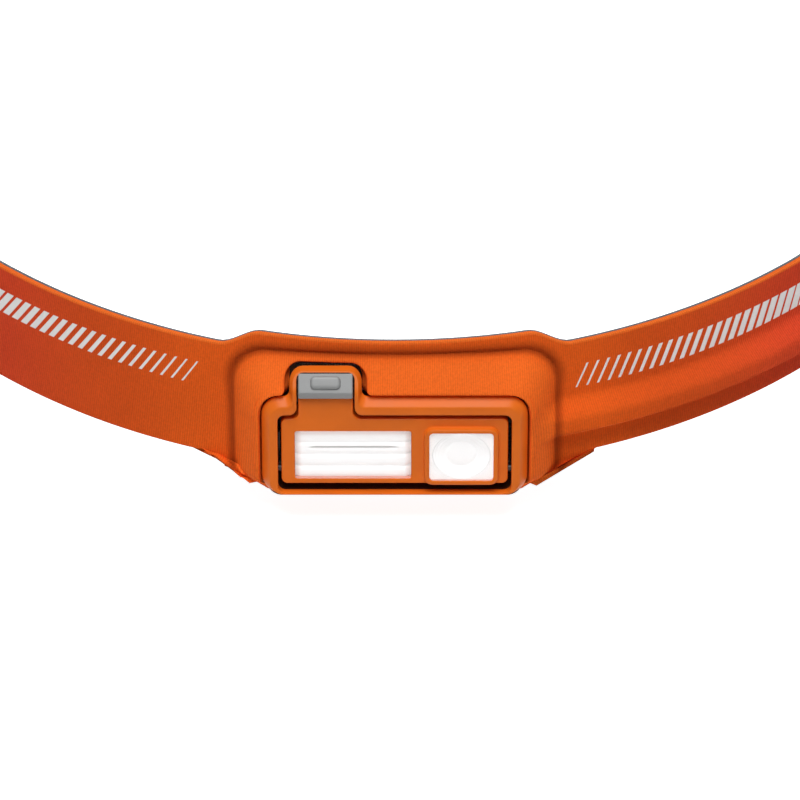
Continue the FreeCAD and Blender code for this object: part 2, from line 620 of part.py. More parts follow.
def optics():
    """Flood lens with its trough, spot lens with its cone, and the board with its lamps."""
    back = "panel_front + panel_skin"
    lens = lens_body("flood_body", "flood_middle", "flood_width", "flood_height",
                     "flood_bottom", "flood_corner", "panel_front + fit_gap", "panel_skin")
    flange = lens_flange("flood_flange", "flood_middle", "flood_width", "flood_height",
                         "flood_bottom", "flange * 0.75")
    keep(join("flood", lens, flange), "flood_lens")
    trough = lens_box("trough_body", "flood_middle", "flood_width", "flood_height",
                      "flood_bottom", "0.1", back + " + 0.7", "1.6")
    inside = lens_box("trough_inside", "flood_middle", "flood_width", "flood_height",
                      "flood_bottom", "1.1", back, "4")
    keep(cut("trough", trough, inside), "flood_reflector")
    face = lens_body("spot_face", "spot_middle", "spot_width", "spot_height", "spot_bottom",
                     "spot_corner", "panel_front - spot_proud + fit_gap",
                     "spot_proud + panel_skin")
    flange = lens_flange("spot_flange", "spot_middle", "spot_width", "spot_height",
                         "spot_bottom", "flange * 0.5")
    optic = doc.addObject("Part::Cone", "spot_optic")
    optic.setExpression("Radius1", bound("spot_height / 2 - 0.6"))
    optic.Radius2 = 1.8
    optic.Height = 1.7
    optic.Placement = LAMP.multiply(Placement(
        Vector(size("spot_middle"), size(back + " + flange * 0.4"),
               size("spot_bottom + spot_height / 2")), TURNS["y"]))
    keep(join("spot", face, flange, optic), "spot_lens")
    keep(block("board", LAMP, ("-panel_width / 2 + panel_wall + 0.3", back + " + 2.4",
                               "panel_bottom + panel_wall + 0.3"),
               ("panel_width - 2 * panel_wall - 0.6", "0.8",
                "panel_top - panel_bottom - 2 * panel_wall - 0.6")), "led_board")
    middle = "flood_bottom + flood_height / 2"
    lamps = [block("flood_led_%d" % n, LAMP, ("flood_middle + %g" % x, back + " + 1.85",
                                              middle + " - 0.9"), ("1.8", "0.55", "1.8"))
             for n, x in enumerate((-7.9, -3.4, 1.6, 6.1))]
    keep(group("flood_lamps", *lamps), "flood_leds")
    lamps = [block("red_led_%d" % n, LAMP, ("flood_middle + %g" % x, back + " + 1.95",
                                            middle + " - 0.6"), ("1.2", "0.45", "1.2"))
             for n, x in enumerate((-5.3, 4.1))]
    keep(group("red_lamps", *lamps), "red_leds")
    keep(block("spot_led_body", LAMP, ("spot_middle - 0.9", back + " + 2.05", middle + " - 0.9"),
               ("1.8", "0.35", "1.8")), "spot_led")
    keep(block("switch", SLOPE, ("-switch_wide / 2",
                                 "button_skin + button_travel + button_play + 0.55",
                                 "button_run / 2 - switch_wide / 2"),
               ("switch_wide", "switch_thick", "switch_wide")), "tact_switch")


def button():
    """Mode button: a wedge on the sloping stem, with a pill on top and a nub below."""
    rise = "button_run * cos(tab_slope)"
    back = "button_run * sin(tab_slope)"
    inward = "button_skin * cos(tab_slope)"
    down = "button_skin * sin(tab_slope)"
    cap = profile_pad("button_cap", LAMP, [
        ("button_front", "button_low"), ("button_front", "button_nose"),
        ("button_front + " + back, "button_nose + " + rise),
        ("button_front + %s + %s" % (back, inward), "button_nose + %s - %s" % (rise, down)),
        ("button_front + " + inward + " - 0.2", "button_low")],
        "tab_middle - button_width / 2", "button_width")
    pill = block("button_pill", SLOPE, ("-2.9", "-0.3", "button_run / 2 - 1.2"),
                 ("5.8", "0.5", "2.4"))
    nub = rod("button_nub", SLOPE, ("0", "button_skin - 0.3", "button_run / 2"), "nub_radius",
              "nub_length + 0.3", "y")
    keep(join("button", cap, pill, nub), "mode_button")


# ---------------------------------------------------------------- rear pack

PACK = Placement(Vector(0, REAR_Y, 0), Rotation())
PACK_BOX = ("-pack_width / 2", "0", "pack_width", "pack_height")
PACK_INSIDE = ("-pack_width / 2 + pack_wall", "pack_wall", "pack_width - 2 * pack_wall",
               "pack_height - 2 * pack_wall")
PIPE_PLACES = (8.0, 12.0, 16.0)
PACK_SCREWS = [("%s(pack_width / 2 - 5)" % sign, rise) for sign in ("", "-")
               for rise in ("5.4", "pack_height - 5.4")]


def pack_rods(name, start, radius, length):
    """One rod at each screw of the pack."""
    return [rod("%s_%d" % (name, number), PACK, (x, start, z), radius, length, "y")
            for number, (x, z) in enumerate(PACK_SCREWS)]


def pack_shells():
    """Base against the head, seal, and the cover with its ports and light."""
    cover_start = "pack_split + gasket"
    tray = plate_body("base_tray", PACK, [
        ("Pad", PACK_BOX, "pack_corner", "layer_gap", "pack_split - layer_gap"),
        ("Pocket", PACK_INSIDE, "pack_corner - pack_wall", "layer_gap + pack_floor",
         "pack_split")])
    posts = pack_rods("base_post", "layer_gap", "post_radius", "pack_split - layer_gap")
    sinks = pack_rods("base_sink", "0", "pack_screw_radius * 2", "2.2")
    holes = pack_rods("base_hole", "0", "pack_screw_radius + screw_play", "pack_split + 1")
    entry = rod("base_entry", WORLD, ("pack_width / 4", str(REAR_Y + size("lead_stand")),
                                      str(MIDDLE_Z - size("lead_drop"))),
                "lead_radius + 0.5", "pack_width / 2", "x")
    keep(cut("base", join("base_solid", tray, *posts), entry, *(sinks + holes)), "pack_base")
    ring = plate_body("seal_ring", PACK, [
        ("Pad", PACK_BOX, "pack_corner", "pack_split", "gasket"),
        ("Pocket", PACK_INSIDE, "pack_corner - pack_wall", "pack_split - 1", "gasket + 2")])
    keep(ring, "pack_gasket")
    cap = plate_body("cover_cap", PACK, [
        ("Pad", PACK_BOX, "pack_corner", cover_start, "pack_depth - pack_split - gasket"),
        ("Pocket", PACK_INSIDE, "pack_corner - pack_wall", cover_start,
         "pack_depth - pack_split - gasket - pack_wall")])
    base = cap.Tip
    edge = ["Edge%d" % (n + 1) for n, e in enumerate(base.Shape.Edges)
            if e.CenterOfMass.y > size("pack_depth") - 0.01]
    soft = cap.newObject("PartDesign::Fillet", "cover_round")
    soft.Base = (base, edge)
    soft.Radius = size("pack_wall") * 0.9
    cap.Tip = soft
    doc.recompute()
    posts = pack_rods("cover_post", cover_start, "post_radius",
                      "pack_depth - pack_split - gasket - pack_wall / 2")
    holes = pack_rods("cover_hole", cover_start, "pack_screw_radius + screw_play", "6.1")
    glow = block("light_hole", PACK, ("-light_wide / 2", "pack_depth - 5",
                                      "(pack_height - light_tall) / 2"),
                 ("light_wide", "10", "light_tall"))
    port = block("port_hole", PACK, ("-pack_width / 2 - 1", "port_depth - port_thick / 2 - port_clear",
                                     "port_height - port_wide / 2 - port_clear"),
                 ("pack_wall + 2", "port_thick + 2 * port_clear",
                  "port_wide + 2 * port_clear"))
    pipes = [rod("pipe_hole_%d" % n, PACK, ("%g" % x, "port_depth", "pack_height - 5"),
                 "pipe_radius + fit_gap", "10", "z") for n, x in enumerate(PIPE_PLACES)]
    lugs = []
    for number, depth in enumerate(("port_depth - 4.3", "port_depth + 2.6")):
        lug = block("lug_%d" % number, PACK, ("-pack_width / 2 - 2.3", depth, "hinge_rise - 1"),
                    ("3", "1.7", "2"))
        lugs.append(lug)
    pin = rod("lug_hole", PACK, ("-pack_width / 2 - 1.3", "port_depth - 5", "hinge_rise"),
              "0.55", "10", "y")
    solid = join("cover_solid", cap, *(posts + lugs))
    keep(cut("cap", solid, glow, port, pin, *(holes + pipes)), "pack_cover")


def pack_inside():
    """Cell, boards, socket, lights and screws of the pack, and its pad."""
    floor = "layer_gap + pack_floor"
    keep(block("pad", PACK, ("-cell_width / 2 + 2", floor + " + 0.02", "pack_height / 2 - 12"),
               ("cell_width - 4", "0.5", "24")), "cell_pad")
    keep(block("cell", PACK, ("-cell_width / 2", floor + " + 0.55",
                              "(pack_height - cell_height) / 2"),
               ("cell_width", "cell_depth", "cell_height")), "battery_cell")
    keep(block("charge", PACK, ("-pack_width / 2 + pack_wall + 0.4",
                                floor + " + 0.6 + cell_depth", "9.3"),
               ("pack_width - 2 * pack_wall - 0.8", "1", "pack_height - 18.6")), "charge_board")
    top = floor + " + 1.65 + cell_depth"
    socket = block("socket_shell", PACK, ("-pack_width / 2 + pack_wall + 0.1", top,
                                          "port_height - port_wide / 2"),
                   ("7.5", "2 * (port_depth - %s)" % ("(" + top + ")"), "port_wide"))
    mouth = block("socket_mouth", PACK, ("-pack_width / 2 + pack_wall", top + " + 0.4",
                                         "port_height - port_wide / 2 + 0.4"),
                  ("6.5", "2 * (port_depth - %s) - 0.8" % ("(" + top + ")"), "port_wide - 0.8"))
    keep(cut("socket", socket, mouth), "usb_socket")
    lens = block("glow_lens", PACK, ("-light_wide / 2 + fit_gap", "pack_depth - pack_wall - 0.05",
                                     "(pack_height - light_tall) / 2 + fit_gap"),
                 ("light_wide - 2 * fit_gap", "pack_wall + 0.45", "light_tall - 2 * fit_gap"))
    flange = block("glow_flange", PACK, ("-light_wide / 2 - 1", "pack_depth - pack_wall - 1",
                                         "(pack_height - light_tall) / 2 - 1"),
                   ("light_wide + 2", "0.95", "light_tall + 2"))
    keep(join("glow", lens, flange), "rear_light_lens")
    lamps = [block("glow_led_%d" % n, PACK, ("%g - 1" % x, top, "pack_height / 2 - 1"),
                   ("2", "1", "2")) for n, x in enumerate((-5.0, 5.0))]
    keep(group("glow_lamps", *lamps), "rear_light_leds")
    pipes = [rod("pipe_%d" % n, PACK, ("%g" % x, "port_depth", "pack_height - 3.5"), "pipe_radius",
                 "pipe_length", "z") for n, x in enumerate(PIPE_PLACES)]
    keep(group("pipes", *pipes), "charge_light_pipe")
    shanks = pack_rods("pack_shank", "0.6", "pack_screw_radius", "14.5")
    heads = pack_rods("pack_head", "0.5", "pack_screw_radius * 1.8", "1.6")
    screws = [join("pack_screw_%d" % n, shank, head)
              for n, (shank, head) in enumerate(zip(shanks, heads))]
    keep(group("pack_fasteners", *screws), "pack_screws")
    inner = "0 - 2 * layer_gap - fabric_skin - strap_skin - 0.1"
    cushion = plate_body("cushion", PACK, [
        ("Pad", ("-pack_width / 2", "pad_inset", "pack_width",
                 "pack_height - 2 * pad_inset"), "pack_corner",
         inner + " - pad_skin", "pad_skin")])
    keep(cushion, "pack_pad")
    sleeve = rod("pack_sleeve", WORLD, ("pack_width / 2 - pack_wall - 0.3",
                                        str(REAR_Y + size("lead_stand")),
                                        str(MIDDLE_Z - size("lead_drop"))),
                 "lead_radius + 0.45", "pack_wall + 0.35", "x")
    collar = rod("pack_collar", WORLD, ("pack_width / 2 + 0.02",
                                        str(REAR_Y + size("lead_stand")),
                                        str(MIDDLE_Z - size("lead_drop"))),
                 "lead_radius + 1", "1.2", "x")
    bore = rod("pack_bore", WORLD, ("pack_width / 4", str(REAR_Y + size("lead_stand")),
                                    str(MIDDLE_Z - size("lead_drop"))),
               "lead_radius + fit_gap", "pack_width / 2", "x")
    keep(cut("pack_gland", join("pack_gland_whole", sleeve, collar), bore), "pack_grommet")


def port_flap():
    """Rubber flap over the charging port, on a pin held by two lugs."""
    flap = block("flap_plate", PACK, ("-pack_width / 2 - 1.6", "port_depth - 3", "11.5"),
                 ("1.4", "6", "hinge_rise - 11.5"))
    barrel = rod("flap_barrel", PACK, ("-pack_width / 2 - 1.3", "port_depth - 2.5",
                                       "hinge_rise"), "1", "5", "y")
    slim = block("flap_slim", PACK, ("-pack_width / 2 - 2", "port_depth - 3.5",
                                     "hinge_rise - 1.5"), ("4", "1", "4"))
    trim = block("flap_trim", PACK, ("-pack_width / 2 - 2", "port_depth + 2.5",
                                     "hinge_rise - 1.5"), ("4", "1", "4"))
    plug = block("flap_plug", PACK, ("-pack_width / 2 - 0.4", "port_depth - port_thick / 2",
                                     "port_height - port_wide / 2"),
                 ("1.2", "port_thick", "port_wide"))
    pin = rod("flap_hole", PACK, ("-pack_width / 2 - 1.3", "port_depth - 5", "hinge_rise"),
              "0.55", "10", "y")
    body = cut("flap_body", join("flap_solid", flap, plug), slim, trim)
    keep(cut("flap", join("flap_whole", body, barrel), pin), "port_cover")
    keep(rod("flap_pin", PACK, ("-pack_width / 2 - 1.3", "port_depth - 4.2", "hinge_rise"),
             "0.5", "8.4", "y"), "port_pin")


# ---------------------------------------------------------------- band, lead and adjuster

def stations(first, last, side):
    """Band stations from a share of one plan piece to a share of another."""
    counts = (10, 8, 4, 6, 4, 2)
    rows = []
    for piece in range(first[0], last[0] + 1):
        low = first[1] if piece == first[0] else 0.0
        high = last[1] if piece == last[0] else 1.0
        steps = max(1, round(counts[piece] * (high - low)))
        rows += [station(piece, low + (high - low) * n / steps, side) for n in range(steps)]
    rows.append(station(last[0], last[1], side))
    return rows


def share_at(x):
    """Share of the front arc at a distance to the side."""
    return math.degrees(math.asin(x / size("front_radius"))) / size("front_turn")


def lap_stations(side):
    """Stations along the pack, from its edge to the end of the lap."""
    edge, end = MARKS[-1][0], size("pack_width / 2 - pack_lap")
    return [pack_station(edge + (end - edge) * n / 3, side) for n in range(1, 4)]


ADJUST_LENGTH = math.radians(size("adjust_heading - 90")) * size("back_radius")


def band():
    """Fabric strips and their liners, from the pod to the pack and to the adjuster."""
    half = size("band_height / 2")
    skin = -size("fabric_skin")
    inner = skin - size("layer_gap")
    start = (0, share_at(size("pod_width / 2 - 3")))
    rows = {"right": stations(start, (5, 1.0), 1) + lap_stations(1),
            "left": stations(start, (3, 1.0 - 2.2 / ADJUST_LENGTH), -1)}
    for side, row in rows.items():
        outer_strip = strip(side + "_outer", row, -half, half, skin, 0.0)
        inner_strip = strip(side + "_inner", row, -half, half, inner - size("liner_skin"), inner)
        keep(cut(side + "_band", outer_strip, pod_reach(side + "_end", 0.15)), "band_" + side)
        keep(cut(side + "_liner", inner_strip, pod_reach(side + "_stop", 0.15)), "liner_" + side)


def lead():
    """Power lead in its raised channel on the right side of the band."""
    keep(lead_tube("lead", size("lead_radius")), "power_lead")
    rows = stations((0, share_at(size("pod_width / 2 - 3"))), (5, 1.0), 1)
    rows.append(pack_station(size("pack_width / 2") + 1.4, 1))
    wires = []
    for place, _, out, up in rows:
        lean = math.asin(out.z)
        stand = size("lead_stand") * math.cos(lean) - size("lead_drop") * math.sin(lean)
        drop = -size("lead_stand") * math.sin(lean) - size("lead_drop") * math.cos(lean)
        top = stand + size("lead_radius") + 0.65
        corners = [place + up * (drop + v) + out * w for v, w in
                   ((-4.2, 0.2), (-2.3, top), (2.3, top), (4.2, 0.2))]
        wires.append(Part.makePolygon(corners + corners[:1]))
    ridge = doc.addObject("Part::Feature", "ridge")
    ridge.Shape = Part.makeLoft(wires, True, True)
    tunnel = lead_tube("ridge_tunnel", size("lead_radius + lead_play"))
    keep(cut("ridge_hollow", ridge, tunnel, pod_reach("ridge_end", 0.8)), "lead_channel")


def adjust_frame():
    """Frame at the start of the straight run: x along the band, y outward, z up."""
    place, along, out, up = station(4, 0.0, -1)
    return Placement(FreeCAD.Matrix(along.x, out.x, up.x, place.x, along.y, out.y, up.y, place.y,
                                    along.z, out.z, up.z, place.z, 0, 0, 0, 1))


def adjuster():
    """Webbing that turns round the ring's bar, the ring on the band's end, and the slider."""
    frame = adjust_frame()
    outer = -size("fabric_skin + layer_gap")
    half = size("strap_height / 2")
    low = 1.7
    rows = stations((4, low / size("adjust_run")), (5, 1.0), -1) + lap_stations(-1)
    long_ply = strip("long_ply", rows, -half, half, outer - size("strap_skin"), outer)
    bar_low = "0 - fabric_skin - layer_gap + seat_gap"
    bar_top = bar_low + " + ring_bar"
    back_ply = block("back_ply", frame, ("1.7", bar_top + " + seat_gap", "-strap_height / 2"),
                     ("slider_place + 16 - 1.7", "strap_skin", "strap_height"))
    turn = block("turn_ply", frame, ("1.7", "0 - fabric_skin - layer_gap - strap_skin",
                                     "-strap_height / 2"),
                 ("1.3", "2 * strap_skin + 2 * seat_gap + ring_bar", "strap_height"))
    keep(join("webbing", long_ply, back_ply, turn), "adjuster_strap")
    ring = block("ring_solid", frame, ("-1.9", bar_low, "-band_height / 2 - 0.5"),
                 ("7.5", "ring_bar", "band_height + 1"))
    hole = block("ring_hole", frame, ("0.9", bar_low + " - 1", "-strap_height / 2 - seat_gap"),
                 ("2.6", "ring_bar + 2", "strap_height + 2 * seat_gap"))
    keep(cut("ring", ring, hole), "band_ring")
    slot_low = "0 - fabric_skin - layer_gap - strap_skin - seat_gap"
    body = block("slider_solid", frame, ("slider_place - slider_run / 2", slot_low + " - 1.4",
                                         "-strap_height / 2 - 2.2"),
                 ("slider_run", "2 * strap_skin + 4 * seat_gap + ring_bar + 2.8",
                  "strap_height + 4.4"))
    slots = [block("slider_slot_%d" % n, frame, ("slider_place - slider_run", text,
                                                 "-strap_height / 2 - seat_gap"),
                   ("2 * slider_run", "strap_skin + 2 * seat_gap", "strap_height + 2 * seat_gap"))
             for n, text in enumerate((slot_low, bar_top))]
    keep(cut("slide", body, *slots), "strap_slider")
    way = frame.Rotation.multVec(Vector(1, 0, 0))
    print("slider way %.6f %.6f %.6f" % (way.x, way.y, way.z))


# ---------------------------------------------------------------- the whole model

def origin_shift():
    """Move that puts the origin under the middle of the whole object."""
    boxes = [item.Shape.optimalBoundingBox(False) for item in parts]
    low = [min(getattr(box, side) for box in boxes) for side in ("XMin", "YMin", "ZMin")]
    high = [max(getattr(box, side) for box in boxes) for side in ("XMax", "YMax", "ZMax")]
    print("extent", ["%.3f %.3f" % pair for pair in zip(low, high)])
    return Vector(-(low[0] + high[0]) / 2, -(low[1] + high[1]) / 2, -low[2])


def report(shift):
    """Print where the joints lie."""
    axis = LAMP.multVec(Vector(0, size("axis_depth"), size("axis_rise"))) + shift
    print("tilt axis through %.4f %.4f %.4f" % (axis.x, axis.y, axis.z))
    press = SLOPE.Rotation.multVec(Vector(0, 1, 0))
    print("button way %.6f %.6f %.6f" % (press.x, press.y, press.z))
    flap = PACK.multVec(Vector(size("0 - pack_width / 2 - 1.3"), size("port_depth"),
                               size("hinge_rise"))) + shift
    print("flap axis through %.4f %.4f %.4f" % (flap.x, flap.y, flap.z))
    print("lamp origin %.4f %.4f %.4f, rear %.4f, middle height %.4f" % (
        LAMP.Base.x + shift.x, LAMP.Base.y + shift.y, LAMP.Base.z + shift.z, REAR_Y + shift.y,
        MIDDLE_Z + shift.z))
    print("band front %.4f %.4f" % (shift.x, shift.y))


def write():
    """Check every object, then write each sub-part to its own file."""
    doc.recompute()
    faults = [item.Name for item in doc.Objects
              if "Invalid" in item.State or "Error" in item.State]
    for item in parts:
        if item.Shape.isNull() or not item.Shape.isValid() or not item.Shape.Solids:
            faults.append(item.Label)
    if faults:
        raise RuntimeError("these objects failed: " + ", ".join(faults))
    shift = origin_shift()
    for item in parts:
        item.Placement = Placement(shift, Rotation()).multiply(item.Placement)
    doc.recompute()
    report(shift)
    os.makedirs("parts", exist_ok=True)
    for item in parts:
        item.Shape.exportStep("parts/%s.step" % item.Label)


pod_cover()
pod_inside()
bezel()
tub()
panel()
optics()
button()
pack_shells()
pack_inside()
port_flap()
band()
lead()
adjuster()
write()
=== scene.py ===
"""Looks of the headlamp: woven band, formed front pod, tilting lamp panel and rear power pack.

Lengths in the classes are millimetres and become metres where a mesh is made. Three places are
used. WORLD is the model's own frame. LAMP lies in the bezel's front face: x to the right, y back
into the lamp, z up along the leaning face, zero at the bezel's bottom edge. A BAND point has a
run s along the loop from the middle of the front, a height v above the band's middle line and a
stand w out of its face.
"""
from __future__ import annotations

import logging
from dataclasses import dataclass
from enum import Enum

import bmesh
import bpy
import numpy as np
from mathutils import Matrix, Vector
from mathutils.geometry import delaunay_2d_cdt


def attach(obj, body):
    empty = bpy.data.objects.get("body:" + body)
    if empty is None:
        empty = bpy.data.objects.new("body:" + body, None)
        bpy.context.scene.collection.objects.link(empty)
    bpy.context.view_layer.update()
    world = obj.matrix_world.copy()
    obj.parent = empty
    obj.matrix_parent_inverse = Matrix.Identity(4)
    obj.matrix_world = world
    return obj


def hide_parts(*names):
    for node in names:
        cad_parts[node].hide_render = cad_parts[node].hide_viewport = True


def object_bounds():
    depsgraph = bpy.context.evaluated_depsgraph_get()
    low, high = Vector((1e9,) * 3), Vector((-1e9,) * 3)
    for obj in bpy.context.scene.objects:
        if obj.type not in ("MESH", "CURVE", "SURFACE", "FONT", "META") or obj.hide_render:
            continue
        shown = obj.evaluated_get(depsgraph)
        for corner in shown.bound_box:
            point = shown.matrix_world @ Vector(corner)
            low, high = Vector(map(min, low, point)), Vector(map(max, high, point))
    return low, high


logging.basicConfig(level=logging.INFO, format="%(levelname)s %(message)s")
LOG = logging.getLogger("headlamp")

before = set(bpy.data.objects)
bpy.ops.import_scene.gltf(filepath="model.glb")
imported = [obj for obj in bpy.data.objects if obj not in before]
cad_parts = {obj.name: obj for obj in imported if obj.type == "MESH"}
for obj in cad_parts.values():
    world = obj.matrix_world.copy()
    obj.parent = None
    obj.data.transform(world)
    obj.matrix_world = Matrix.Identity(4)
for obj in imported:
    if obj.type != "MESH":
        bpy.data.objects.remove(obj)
CAD_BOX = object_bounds()

MM = 0.001
Array = np.ndarray


# ------------------------------------------------------------------ small mathematics

def smooth(edge0: float, edge1: float, x: Array) -> Array:
    """Smooth step: 3t² − 2t³ with t = (x − edge0) / (edge1 − edge0), held to 0..1."""
    t = np.clip((x - edge0) / (edge1 - edge0), 0.0, 1.0)
    return t * t * (3.0 - 2.0 * t)


def soft_max(a: Array, b: Array, width: float) -> Array:
    """Greater of two fields, with a round fillet where they cross.

    Formula: max(a, b) + h²·width/4, where h = max(width − |a − b|, 0) / width.
    """
    h = np.maximum(width - np.abs(a - b), 0.0) / width
    return np.maximum(a, b) + h * h * width * 0.25


def rotate(y: Array, z: Array, degrees: float) -> tuple[Array, Array]:
    """Turn the pair (y, z) about the x axis: (y cos − z sin, y sin + z cos)."""
    a = np.radians(degrees)
    return y * np.cos(a) - z * np.sin(a), y * np.sin(a) + z * np.cos(a)


# ------------------------------------------------------------------ outlines

def rounded_outline(corners: list[tuple[float, float]], radii: list[float],
                    steps: int = 8) -> Array:
    """Closed outline with a round arc at each corner.

    Each corner's arc touches both sides at r·tan(half the turn) from the corner, and its points
    are centre + r·(cos t, sin t) with t even between the two touching points.

    Args:
        corners: corner points in order round the outline.
        radii: radius of each corner.
        steps: points on each arc.

    Returns:
        Points (n, 2).
    """
    p = np.array(corners, float)
    r = np.array(radii, float)[:, None]
    back = np.roll(p, 1, axis=0) - p
    ahead = np.roll(p, -1, axis=0) - p
    back /= np.linalg.norm(back, axis=1, keepdims=True)
    ahead /= np.linalg.norm(ahead, axis=1, keepdims=True)
    middle = back + ahead
    middle /= np.linalg.norm(middle, axis=1, keepdims=True)
    half = np.arccos(np.clip((back * ahead).sum(1, keepdims=True), -1, 1)) / 2
    centre = p + middle * r / np.sin(half)
    first = p + back * r / np.tan(half) - centre
    last = p + ahead * r / np.tan(half) - centre
    a0 = np.arctan2(first[:, 1], first[:, 0])[:, None]
    a1 = np.arctan2(last[:, 1], last[:, 0])[:, None]
    turn = (a1 - a0 + np.pi) % (2 * np.pi) - np.pi
    t = a0 + turn * np.linspace(0, 1, steps)[None, :]
    arcs = centre[:, None, :] + r[:, :, None] * np.stack([np.cos(t), np.sin(t)], axis=2)
    return arcs.reshape(-1, 2)


def rectangle(x0: float, x1: float, z0: float, z1: float, radius: float, steps: int = 8) -> Array:
    """Rounded rectangle, anticlockwise from its lower left corner."""
    return rounded_outline([(x0, z0), (x1, z0), (x1, z1), (x0, z1)], [radius] * 4, steps)


def resample(outline: Array, count: int) -> Array:
    """Closed outline with points at even steps of its length, from its first point on."""
    closed = np.vstack([outline, outline[:1]])
    run = np.concatenate([[0.0], np.cumsum(np.linalg.norm(np.diff(closed, axis=0), axis=1))])
    at = np.linspace(0.0, run[-1], count, endpoint=False)
    return np.stack([np.interp(at, run, closed[:, k]) for k in range(outline.shape[1])], axis=1)


def offset(outline: Array, amount: float) -> Array:
    """Outline moved outwards by an amount along the mean of its two sides' normals.

    Args:
        outline: closed anticlockwise points (n, 2).
        amount: distance, negative inwards.

    Returns:
        Points (n, 2), matched one to one.
    """
    ahead = np.roll(outline, -1, axis=0) - outline
    back = outline - np.roll(outline, 1, axis=0)
    normal = [np.stack([d[:, 1], -d[:, 0]], axis=1) for d in (ahead, back)]
    normal = [n / np.maximum(np.linalg.norm(n, axis=1, keepdims=True), 1e-9) for n in normal]
    mean = normal[0] + normal[1]
    mean /= np.linalg.norm(mean, axis=1, keepdims=True)
    share = np.maximum((mean * normal[0]).sum(1, keepdims=True), 0.5)
    return outline + mean * amount / share


# ------------------------------------------------------------------ meshes

def quads(rows: int, columns: int, close: bool = False) -> Array:
    """Faces of a grid of rows × columns points; close joins the last column to the first."""
    r = np.arange(rows - 1)[:, None]
    c = np.arange(columns if close else columns - 1)[None, :]
    n = (c + 1) % columns
    return np.stack([r * columns + c, r * columns + n,
                     (r + 1) * columns + n, (r + 1) * columns + c], axis=2).reshape(-1, 4)


def cap(outline: Array) -> tuple[Array, list[list[int]]]:
    """Flat triangle filling of a closed outline that may have hollows.

    Returns:
        The points, unchanged, and the triangles that lie within the outline.
    """
    n = len(outline)
    edges = [(k, (k + 1) % n) for k in range(n)]
    found = delaunay_2d_cdt([Vector(p) for p in outline], edges, [list(range(n))], 1, 1e-7)
    return np.array([tuple(p) for p in found[0]]), [list(f) for f in found[2]]


@dataclass
class Skin:
    """Points and faces gathered for one mesh.

    Attributes:
        points: blocks of points in millimetres.
        faces: faces as lists of point numbers.
        maps: values per point for each named attribute, in blocks.
    """
    points: list[Array]
    faces: list[list[int]]
    maps: dict[str, list[Array]]

    @classmethod
    def empty(cls) -> "Skin":
        """A skin with nothing in it."""
        return cls([], [], {})

    def count(self) -> int:
        """Number of points so far."""
        return sum(len(p) for p in self.points)

    def add(self, points: Array, faces: Array | list[list[int]], **maps: Array) -> "Skin":
        """Add a block of points with its own faces and per-point values.

        Args:
            points: (n, 3) or a grid (rows, columns, 3).
            faces: point numbers within the block.
            maps: named values, one or more per point.

        Returns:
            The same skin.
        """
        start = self.count()
        self.points.append(np.asarray(points, float).reshape(-1, 3))
        self.faces += [[int(i) + start for i in face] for face in faces]
        for key, value in maps.items():
            self.maps.setdefault(key, []).append(np.asarray(value, float))
        return self

    def loops(self, rings: list[Array]) -> "Skin":
        """Add closed rings of equal length (n, 3), each joined to the next by quads."""
        grid = np.stack(rings)
        return self.add(grid, quads(len(rings), grid.shape[1], True))

    def lid(self, outline: Array, lift: Array) -> "Skin":
        """Close a flat outline (n, 2) with triangles, placed in space at the points lift (n, 3)."""
        flat, faces = cap(outline)
        if len(flat) != len(outline):
            raise ValueError("an outline crosses itself")
        return self.add(lift, faces)

    def mesh(self, name: str, weld: float = 0.0005, inside: Array | None = None,
             ) -> bpy.types.Object:
        """Make the object, weld its doubled points and point its faces outwards.

        Args:
            name: object name.
            weld: distance in millimetres within which points are joined.
            inside: for an open surface, a WORLD point that its faces turn away from.

        Returns:
            The linked mesh object at the origin.
        """
        data = bpy.data.meshes.new(name)
        data.from_pydata(np.vstack(self.points) * MM, [], self.faces)
        for key, blocks in self.maps.items():
            value = np.concatenate([b.reshape(-1) for b in blocks])
            data.attributes.new(key, "FLOAT", "POINT").data.foreach_set("value", value)
        work = bmesh.new()
        work.from_mesh(data)
        bmesh.ops.remove_doubles(work, verts=work.verts, dist=weld * MM)
        bmesh.ops.recalc_face_normals(work, faces=work.faces)
        work.to_mesh(data)
        work.free()
        if inside is not None:
            values = {key: np.empty(len(data.polygons) * 3) for key in ("normal", "center")}
            for key, value in values.items():
                data.polygons.foreach_get(key, value)
            area = np.empty(len(data.polygons))
            data.polygons.foreach_get("area", area)
            normal, middle = (values[key].reshape(-1, 3) for key in ("normal", "center"))
            if ((normal * (middle - np.asarray(inside) * MM)).sum(1) * area).sum() < 0:
                data.flip_normals()
        thing = bpy.data.objects.new(name, data)
        bpy.context.scene.collection.objects.link(thing)
        data.shade_smooth()
        return thing


def crease(thing: bpy.types.Object, degrees: float = 34.0) -> bpy.types.Object:
    """Keep edges sharper than an angle crisp and the rest smooth."""
    with bpy.context.temp_override(object=thing, active_object=thing, selected_objects=[thing],
                                   selected_editable_objects=[thing]):
        bpy.ops.object.shade_smooth_by_angle(angle=np.radians(degrees))
    return thing


def soften(thing: bpy.types.Object, width: float, steps: int = 3, degrees: float = 34.0,
           ) -> bpy.types.Object:
    """Bevel of a width in millimetres on edges sharper than an angle, with even shading."""
    bevel = thing.modifiers.new("edge", "BEVEL")
    bevel.width = width * MM
    bevel.segments = steps
    bevel.limit_method = "ANGLE"
    bevel.angle_limit = np.radians(degrees)
    bevel.harden_normals = False
    bevel.use_clamp_overlap = True
    return thing


def thicken(thing: bpy.types.Object, amount: float) -> bpy.types.Object:
    """Solidify behind the surface by an amount in millimetres."""
    wall = thing.modifiers.new("wall", "SOLIDIFY")
    wall.thickness = amount * MM
    wall.offset = -1.0
    return thing


